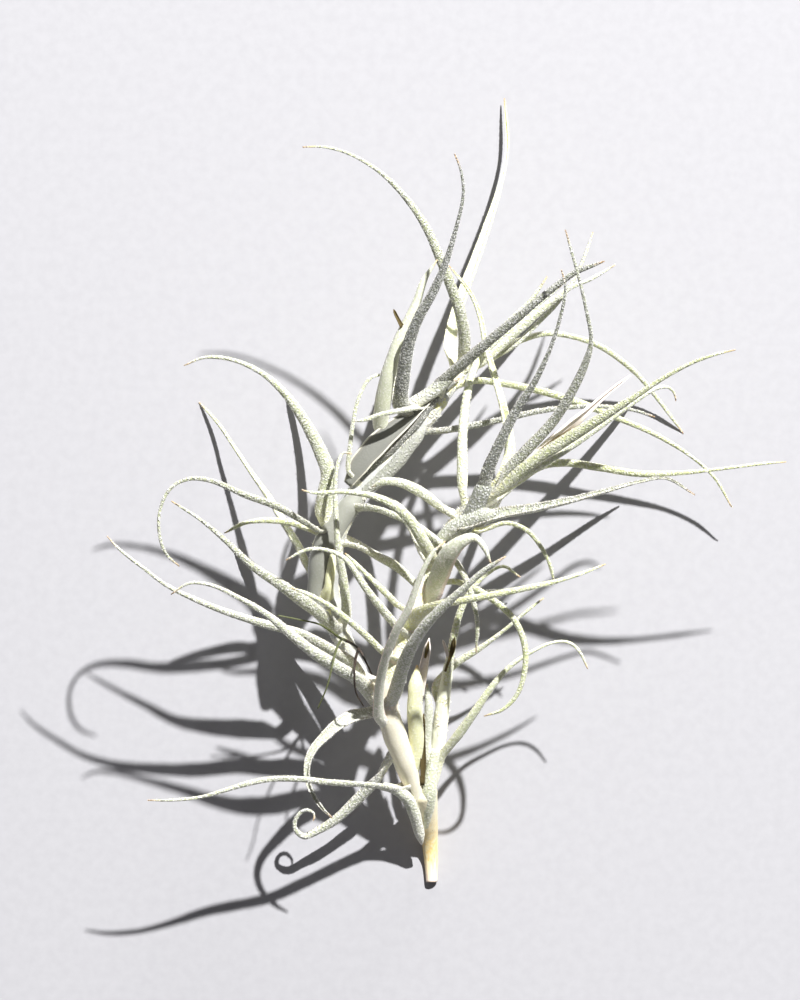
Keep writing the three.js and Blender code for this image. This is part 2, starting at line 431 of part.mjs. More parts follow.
// A closed body from rings that have the same number of points, with a cap at each end.
function skin(rings, capFaces) {
  const sides = rings[0].length;
  const positions = rings.flat().flatMap((p) => [p.x, p.y, p.z]);
  const faces = [];
  for (let r = 0; r + 1 < rings.length; r += 1) {
    for (let s = 0; s < sides; s += 1) {
      const a = r * sides + s;
      const b = r * sides + ((s + 1) % sides);
      faces.push(a, b, b + sides, a, b + sides, a + sides);
    }
  }
  const last = (rings.length - 1) * sides;
  for (const [a, b, c] of capFaces) {
    faces.push(c, b, a, last + a, last + b, last + c);
  }
  const geometry = new THREE.BufferGeometry();
  geometry.setAttribute('position', new THREE.Float32BufferAttribute(positions, 3));
  geometry.setIndex(faces);
  return geometry;
}

// Channelled section: three points along the back and three along the channel.
function bladeSection(station) {
  const width = Math.max(station.width, LEAST_WIDTH);
  const half = width / 2;
  const spread = (width - FLAT_BELOW_WIDTH) / (CHANNELLED_FROM_WIDTH - FLAT_BELOW_WIDTH);
  const angle = THREE.MathUtils.degToRad(CHANNEL_ANGLE * THREE.MathUtils.clamp(spread, 0.1, 1));
  const rise = half * Math.tan(angle / 2);
  const edgeIn = LEAST_THICKNESS * Math.sin(angle);
  const edgeUp = LEAST_THICKNESS * Math.cos(angle);
  const outline = [
    [-half, rise], [0, 0], [half, rise],
    [half - edgeIn, rise + edgeUp], [0, BLADE_THICKNESS], [edgeIn - half, rise + edgeUp],
  ];
  return outline.map(([side, up]) => station.place.clone()
    .addScaledVector(station.across, side)
    .addScaledVector(station.up, up - (rise + BLADE_THICKNESS) / 2));
}

const BLADE_CAP = [[0, 1, 4], [0, 4, 5], [1, 2, 3], [1, 3, 4]];

function blade([name, points]) {
  const turned = TURNED_CHANNELS[name];
  const facing = turned ? new THREE.Vector3(...turned) : shootAxis;
  const rings = stationsOf(points, RINGS_PER_POINT, facing).map(bladeSection);
  return skin(rings, BLADE_CAP);
}

function roundRing(station, sides, radius) {
  const ring = [];
  for (let s = 0; s < sides; s += 1) {
    const turn = (s / sides) * 2 * Math.PI;
    ring.push(station.place.clone()
      .addScaledVector(station.across, radius * Math.cos(turn))
      .addScaledVector(station.up, radius * Math.sin(turn)));
  }
  return ring;
}

function roundCap(sides) {
  const faces = [];
  for (let s = 1; s + 1 < sides; s += 1) {
    faces.push([0, s, s + 1]);
  }
  return faces;
}

function stem(points, sides = STEM_SIDES) {
  const stations = stationsOf(points, RINGS_PER_STEM_POINT);
  const rings = stations.map((station) => roundRing(station, sides, station.width / 2));
  return skin(rings, roundCap(sides));
}

// The old stem is a stem whose first end is sunk into a short hollow.
function hollowedStem(points) {
  const stations = stationsOf(points, RINGS_PER_STEM_POINT);
  const rings = stations.map((station) => roundRing(station, STEM_SIDES, station.width / 2));
  const end = stations[0];
  const floor = { ...end, place: end.place.clone().addScaledVector(end.along, PITH_DEPTH) };
  const pith = (end.width / 2) * PITH_SHARE;
  rings.unshift(roundRing(floor, STEM_SIDES, pith * 0.8), roundRing(end, STEM_SIDES, pith));
  return skin(rings, roundCap(STEM_SIDES));
}

function solidOf(geometry) {
  const bare = geometry.clone();
  bare.deleteAttribute('normal');
  bare.deleteAttribute('uv');
  const merged = mergeVertices(bare);
  return new wasm.Manifold(new wasm.Mesh({
    numProp: 3,
    vertProperties: merged.attributes.position.array,
    triVerts: new Uint32Array(merged.index.array),
  }));
}

// Everything under the surface is cut off, which leaves small flat spots to rest on.
const groundBlock = new THREE.BoxGeometry(400, 400, 40).translate(0, 0, -20);
const ground = solidOf(groundBlock);

// Fused solids keep only their outer skin, so pockets that the leaves seal are filled.
function fused(geometries) {
  const whole = geometries.map(solidOf).reduce((a, b) => a.add(b)).subtract(ground);
  const pieces = whole.decompose();
  const body = pieces.reduce((a, b) => (b.volume() > a.volume() ? b : a));
  const mesh = body.getMesh();
  const geometry = new THREE.BufferGeometry();
  geometry.setAttribute('position', new THREE.BufferAttribute(mesh.vertProperties, 3));
  geometry.setIndex(new THREE.BufferAttribute(mesh.triVerts, 1));
  return geometry;
}

const plant = new THREE.Group();

function addPiece(name, geometry, colour, roughness) {
  geometry.computeVertexNormals();
  const material = new THREE.MeshStandardMaterial({ color: colour, roughness, metalness: 0 });
  const mesh = new THREE.Mesh(geometry, material);
  mesh.name = name;
  plant.add(mesh);
}

function leafyShoot(stemRoute, leaves) {
  return fused([stem(stemRoute), ...Object.entries(leaves).map(blade)]);
}

addPiece('old_stem', fused([hollowedStem(OLD_STEM)]), COLOURS.bark, 0.8);
addPiece('main_shoot', leafyShoot(MAIN_STEM, MAIN_LEAVES), COLOURS.leaf, 0.75);
addPiece('left_shoot', leafyShoot(LEFT_STEM, LEFT_LEAVES), COLOURS.leaf, 0.75);
addPiece('right_shoot', leafyShoot(RIGHT_STEM, RIGHT_LEAVES), COLOURS.youngLeaf, 0.7);
addPiece('flower_spike', fused([stem(SPIKE, ROOT_SIDES)]), COLOURS.drySpike, 0.9);
addPiece('wiry_roots', fused(ROOTS.map((root) => stem(root, ROOT_SIDES))), COLOURS.root, 0.8);

export default plant;
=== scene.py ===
from functools import partial
import math
import bpy
import numpy as np
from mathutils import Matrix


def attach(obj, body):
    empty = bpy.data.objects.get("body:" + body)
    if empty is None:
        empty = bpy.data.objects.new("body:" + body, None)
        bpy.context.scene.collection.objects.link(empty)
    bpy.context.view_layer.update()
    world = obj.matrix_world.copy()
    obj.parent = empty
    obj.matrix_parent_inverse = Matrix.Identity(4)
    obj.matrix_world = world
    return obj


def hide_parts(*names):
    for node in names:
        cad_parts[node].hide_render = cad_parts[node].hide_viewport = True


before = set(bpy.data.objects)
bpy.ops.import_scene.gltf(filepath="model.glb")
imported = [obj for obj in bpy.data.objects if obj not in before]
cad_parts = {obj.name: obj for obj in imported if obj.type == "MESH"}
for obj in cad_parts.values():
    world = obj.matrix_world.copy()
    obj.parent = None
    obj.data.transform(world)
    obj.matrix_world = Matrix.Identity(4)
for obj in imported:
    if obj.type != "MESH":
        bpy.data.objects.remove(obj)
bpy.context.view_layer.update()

# Stems of the three shoots.
# Each is a thin woody stem wrapped in the closed bases of its own leaves, which overlap like shingles.
# The skin over it is smooth, finely ribbed along its length and paler than the blades.
MM = 0.001
VIEWER = (0.0, 0.0, 1.0)
CURVE_STEPS = 24
FEWEST_RINGS = 8
STEM_SPACING = 0.6
STEM_SIDES = 36

# Every 9 mm a sheath ends, in a spiral that stands out by a share of the stem's radius, as the ribs do.
SHEATH_LENGTH = 9.0
SHEATH_STEP = 0.07
RIBS = 9
RIB_HEIGHT = 0.006

# How far each stem runs on into what it grew from, as a share of its first stretch.
FOOT = 0.5

# Shares of the flat map: the gap beside each body's strip, and the height of an end cap.
STRIP_MARGIN = 0.04
CAP_HEIGHT = 0.002

# Points [x, y, z, width] in millimetres, from the fork to the tip of each stem.
MAIN_STEM = [
    [-8, -75.3, 15.4, 4], [-10.25, -69.5, 19, 4.6], [-12.25, -63.5, 24, 4.8], [-14, -58, 28, 5.4],
    [-14.75, -53, 31, 5.6], [-13.5, -47.5, 34, 5], [-11.25, -41.25, 36, 4.4], [-9.25, -35.5, 38, 4],
    [-7.25, -28.5, 40, 3.8], [-4.5, -22.5, 41, 4], [-1.25, -16.5, 43, 4.8], [2.25, -10.5, 46, 5.6],
    [6, -5.5, 49, 5.4], [8.8, -1.9, 52, 3.6],
]
LEFT_STEM = [
    [-17.5, -53, 27.9, 2.4], [-20.75, -46.5, 25, 2.8], [-23.5, -41.25, 26, 3.6], [-27.25, -34.5, 28, 5],
    [-30, -27.5, 30, 7], [-30.75, -20.75, 32.5, 7.6], [-29.5, -14.25, 35, 7.4], [-27.25, -8.75, 37, 6.2],
    [-24.25, -4, 38, 5.2], [-21, 0.5, 38.5, 5], [-16.5, 6.5, 39, 5.6], [-10.75, 13, 39, 6.4],
    [-5.25, 19.5, 38, 6.4], [-0.25, 25.5, 36, 5.2], [4, 30.5, 34, 3.2],
]
RIGHT_STEM = [
    [-4, -74.4, 14.6, 3.4], [-2.5, -67.5, 17, 3.8], [-1.25, -57.5, 21, 3.6], [-0.25, -50, 24, 3],
    [0.75, -43.75, 26, 2.4],
]


def unit(vectors):
    return vectors / np.linalg.norm(vectors, axis=-1, keepdims=True)


def smooth_route(points, spacing):
    """Places every spacing mm along a smooth curve through given points, with widths and distances run."""
    knots = np.array(points, float)
    padded = np.vstack([2 * knots[0] - knots[1], knots, 2 * knots[-1] - knots[-2]])[:, :3]
    share = np.linspace(0, len(knots) - 1, CURVE_STEPS * len(knots))
    first = np.minimum(share.astype(int), len(knots) - 2)
    t = (share - first)[:, None]
    a, b, c, d = (padded[first + k] for k in range(4))
    before, here, after = (np.linalg.norm(q - p, axis=1)[:, None] ** 0.5 for p, q in ((a, b), (b, c), (c, d)))
    leaving = ((b - a) / before - (c - a) / (before + here)) * here + (c - b)
    arriving = ((d - c) / after - (d - b) / (here + after)) * here + (c - b)
    places = (2 * t**3 - 3 * t**2 + 1) * b + (t**3 - 2 * t**2 + t) * leaving
    places += (3 * t**2 - 2 * t**3) * c + (t**3 - t**2) * arriving
    run = np.concatenate([[0], np.cumsum(np.linalg.norm(np.diff(places, axis=0), axis=1))])
    at = np.linspace(0, run[-1], max(FEWEST_RINGS, int(run[-1] / spacing)))
    even = np.stack([np.interp(at, run, places[:, k]) for k in range(3)], 1)
    widths = np.interp(at, run, np.interp(share, np.arange(len(knots)), knots[:, 3]))
    return even, widths, at


def axes_along(places, facing):
    """Heading, channel side and sideways direction at each place, turned as little as can be between them."""
    headings = unit(np.gradient(places, axis=0))
    sides = np.empty_like(headings)
    middle = len(places) // 2
    sides[middle] = facing - headings[middle] * np.dot(facing, headings[middle])
    for i in range(middle + 1, len(places)):
        sides[i] = sides[i - 1] - headings[i] * np.dot(sides[i - 1], headings[i])
    for i in range(middle - 1, -1, -1):
        sides[i] = sides[i + 1] - headings[i] * np.dot(sides[i + 1], headings[i])
    sides = unit(sides)
    return headings, sides, np.cross(sides, headings)


def tube(places, reach):
    """Rings round the places of a route, with a reach for each point of each ring."""
    _, sides, across = axes_along(places, np.array(VIEWER))
    angle = 2 * math.pi * np.arange(reach.shape[1]) / reach.shape[1]
    rings = places[:, None] + (reach * np.cos(angle))[..., None] * across[:, None]
    return rings + (reach * np.sin(angle))[..., None] * sides[:, None]


def stem(points, spacing, sheath_step, draw):
    """Rings of a round stem that steps in a spiral where sheaths end, and their shares of its length."""
    places, widths, run = smooth_route(points, spacing)
    turn = np.arange(STEM_SIDES) / STEM_SIDES
    phase = run[:, None] / SHEATH_LENGTH + turn + draw.random()
    step = 1 + sheath_step * (phase % 1) ** 2
    ribs = 1 + RIB_HEIGHT * np.sin(turn * 2 * math.pi * RIBS)
    return tube(places, widths[:, None] / 2 * step * ribs), run / run[-1]


def net_of_quads(rings, around, left, right):
    """Quads that join closed rings of points, capped at both ends, and their places on a flat map."""
    ring, point = np.meshgrid(np.arange(rings - 1), np.arange(around), indexing="ij")
    ring, point = ring.ravel(), point.ravel()
    follow = (point + 1) % around
    faces = np.stack([ring * around + point, ring * around + follow], 1)
    faces = np.concatenate([faces, faces[:, ::-1] + around], 1)
    u = left + (right - left) * np.stack([point, point + 1, point + 1, point], 1) / around
    v = np.stack([ring, ring, ring + 1, ring + 1], 1) / (rings - 1)
    step = np.arange(around // 2 - 1)
    cap = np.stack([step, around - 1 - step, around - 2 - step, step + 1], 1)
    faces = np.concatenate([faces, cap, cap[:, ::-1] + (rings - 1) * around])
    u = np.concatenate([u, *[left + (right - left) * cap / around] * 2])
    end = np.array([0, CAP_HEIGHT, CAP_HEIGHT, 0]) * np.ones((len(cap), 1))
    v = np.concatenate([v, end, 1 - end])
    return faces, np.stack([u, v], -1)


def strip_of(index, count):
    """Left and right of one body's strip on the flat map of a mesh that holds that count of bodies."""
    return np.array([index + STRIP_MARGIN, index + 1 - STRIP_MARGIN]) / count


class Shape:
    """Points, faces, map places and named numbers for each point, gathered for one mesh."""

    def __init__(self):
        self.points, self.faces, self.places, self.marks, self.count = [], [], [], {}, 0

    def add(self, points, faces, places, **marks):
        points = points.reshape(-1, 3)
        for name, values in marks.items():
            self.marks.setdefault(name, []).append(np.ones(len(points)) * np.ravel(values))
        self.points.append(points)
        self.faces.append(faces + self.count)
        self.places.append(places)
        self.count += len(points)

    def add_rings(self, rings, strip=(0, 1), **marks):
        """Adds a closed body between its first and its last ring, mapped on its own strip."""
        self.add(rings, *net_of_quads(*rings.shape[:2], *strip), **marks)

    def build(self, name, material, smooth=True):
        """Makes one mesh of all that was gathered."""
        mesh = bpy.data.meshes.new(name)
        points = np.concatenate(self.points) * MM
        mesh.vertices.add(len(points))
        mesh.vertices.foreach_set("co", points.astype(np.float32).ravel())
        loops = np.concatenate([f.ravel() for f in self.faces])
        sizes = np.concatenate([np.full(len(f), f.shape[1]) for f in self.faces])
        mesh.loops.add(len(loops))
        mesh.loops.foreach_set("vertex_index", loops.astype(np.int32))
        mesh.polygons.add(len(sizes))
        starts = np.concatenate([[0], np.cumsum(sizes)[:-1]])
        mesh.polygons.foreach_set("loop_start", starts.astype(np.int32))
        mesh.polygons.foreach_set("use_smooth", np.full(len(sizes), smooth))
        mesh.update(calc_edges=True)
        flat = mesh.uv_layers.new(name="OFBake")
        places = np.concatenate([p.reshape(-1, 2) for p in self.places])
        flat.uv.foreach_set("vector", places.astype(np.float32).ravel())
        for mark, values in self.marks.items():
            layer = mesh.attributes.new(mark, "FLOAT", "POINT")
            layer.data.foreach_set("value", np.concatenate(values).astype(np.float32))
        mesh.materials.append(material)
        return place_in_scene(name, mesh)


def place_in_scene(name, data):
    made = bpy.data.objects.new(name, data)
    bpy.context.scene.collection.objects.link(made)
    return made


def stands_for(piece, node):
    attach(piece, "root")
    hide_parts(node)


def colour(hex_code):
    """The linear colour of an sRGB hex value."""
    parts = [int(hex_code[i:i + 2], 16) / 255 for i in (1, 3, 5)]
    return [p / 12.92 if p <= 0.04045 else ((p + 0.055) / 1.055) ** 2.4 for p in parts] + [1.0]


def fill(node, inputs):
    """Fills a node's inputs by name, or from a list in the order of its live ones, with values or links."""
    if isinstance(inputs, dict):
        sockets = [node.inputs[name] for name in inputs]
        inputs = inputs.values()
    else:
        sockets = [socket for socket in node.inputs if socket.enabled]
    for socket, value in zip(sockets, inputs):
        if isinstance(value, bpy.types.NodeSocket):
            node.id_data.links.new(value, socket)
        else:
            socket.default_value = colour(value) if isinstance(value, str) else value


# A Mix takes its factor and two colours, a Math multiplies its two numbers, and a MapRange takes its
# value, the two limits that it comes from and the two that it goes to.
USUAL_SETTINGS = {"Mix": {"data_type": "RGBA"}, "Math": {"operation": "MULTIPLY"}}


def add_node(tree, kind, inputs=(), give=None, **settings):
    """Adds a node with its settings and inputs, and gives the output of that name, or the first live one."""
    node = tree.nodes.new("ShaderNode" + kind)
    for name, value in {**USUAL_SETTINGS.get(kind, {}), **settings}.items():
        setattr(node, name, value)
    fill(node, inputs)
    return node.outputs[give] if give else next(socket for socket in node.outputs if socket.enabled)


def new_material(name):
    """An empty node material, the function that adds nodes to it, and its surface shader."""
    material = bpy.data.materials.new(name)
    material.use_nodes = True
    tree = material.node_tree
    return material, partial(add_node, tree), tree.nodes["Principled BSDF"]


def place_in_mm(add):
    """The place on the piece in mm, so that a pattern's Scale is how many of its patches one mm holds."""
    return add("VectorMath", [add("TexCoord", give="Object"), 1 / MM], operation="SCALE")


def closed_sheath():
    """Smooth living sheath: pale grey-green to cream, few scales in 0.4 mm patches, and a soft waxy shine."""
    material, add, surface = new_material("closed_sheath")
    place = place_in_mm(add)
    fine = add("TexNoise", {"Vector": place, "Scale": 2.5, "Detail": 3.0})
    broad = add("TexNoise", {"Vector": place, "Scale": 0.16, "Detail": 2.0})
    scales = add("TexVoronoi", {"Vector": place, "Scale": 2.5})
    shade = add("Mix", [add("MapRange", [broad, 0.4, 0.62]), "#E2E3DA", "#F2F2E8"])
    # The silver tone greys the skin. On the left stem it is mostly painted shade.
    for mark, tone in (("silver_and_shade", "#A9AAA8"), ("green", "#F4F5CC"), ("pink", "#F8E2CF")):
        shade = add("Mix", [add("Attribute", give="Fac", attribute_name=mark), shade, tone])
    cover = [add("MapRange", [scales, 0.25, 0.5, 1, 0]), add("MapRange", [fine, 0.4, 0.62])]
    cover = add("Math", cover)
    shade = add("Mix", [add("Math", [cover, 0.6]), shade, "#EBECE2"])
    bump = add("Bump", {"Strength": 0.4, "Distance": 0.00015, "Height": cover})
    rough = add("MapRange", [fine, 0.3, 0.7, 0.5, 0.72])
    fill(surface, {"Base Color": shade, "Normal": bump, "Roughness": rough})
    fill(surface, {"IOR": 1.42, "Sheen Weight": 0.15})
    return material


sheath_skin = closed_sheath()
seeded = np.random.default_rng(7)
shoots = {
    "main": (MAIN_STEM, "main_shoot", "silver_leaf", {"green": 0.3, "pink": 0.6, "silver_and_shade": 0.0}),
    # The left shoot's silver is painted shade as much as grey skin.
    "left": (LEFT_STEM, "left_shoot", "silver_leaf", {"green": 0.0, "pink": 0.0, "silver_and_shade": 0.8}),
    "right": (RIGHT_STEM, "right_shoot", "pale_leaf", {"green": 0.5, "pink": 0.0, "silver_and_shade": 0.0}),
}
for shoot, (points, solid, slot, tint) in shoots.items():
    first, second = np.array(points[0], float), np.array(points[1], float)
    foot = first + (first - second) * [FOOT, FOOT, FOOT, 0]
    rings, _ = stem([foot, *points], STEM_SPACING, SHEATH_STEP, seeded)
    shape = Shape()
    shape.add_rings(rings, **tint)
    stands_for(shape.build(shoot + "_stem", sheath_skin), solid)


# Leaf blades of the three shoots.
# Each is one living strap, most of them 30 to 90 mm long. Its base is a sheath round the stem, which opens
# into a gutter, arches away with its channel towards the shoot's tip, rolls inward and tapers to a thread.
RING_SPACING = 1.0
SECTION_POINTS = 10
SHOOT_AXIS = (0.0, 1.0, 0.0)

# How far a blade has rolled round, as half its angle in degrees, at each share of its length.
ROLL_AT = [0, 0.12, 0.35, 0.7, 1]
ROLL_HALF = [62, 78, 98, 124, 150]

# A blade loses most of its width over the last stretch to its tip. Its thickness is a share of its width
# and a little more, up to a limit in mm, and most of it is lost towards the margins.
TIP_FROM = 0.86
TIP_LOSS = 0.72
MARGIN_LOSS = 0.72
THICKNESS_SHARE = 0.3
THINNEST = 0.05
THICKEST = 0.85

# Growth waves: the share by which they change the width or the roll, and the mm for each radian of them.
LONG_WAVE = (0.025, 3.1)
SHORT_WAVE = (0.02, 1.3)
ROLL_WAVE = (0.03, 4.3)

# The clasping base: mm below and above where the leaf leaves its stem, how far round the stem it wraps
# in degrees each way, its size against the stem's, the mm over which it turns to its own side, and how
# many rings ahead show the way that it leaves.
CLASP_BELOW = 7.0
CLASP_ABOVE = 8.0
CLASP_WRAP = [160, 125, 80]
CLASP_FIT = [0.95, 1.06]
CLASP_SLACK = 0.05
CLASP_THICKNESS = 0.35
CLASP_TWIST = 14.0
CLASP_SIGHT = 5

# A blade's skin is a little narrower than its route says, because its scales add the rest. Its sections
# are scaled to that within two limits, evened out over seven rings.
SKIN_SHARE = 0.94
NARROWEST = 0.6
WIDEST = 1.3
EVENED_OVER = 7
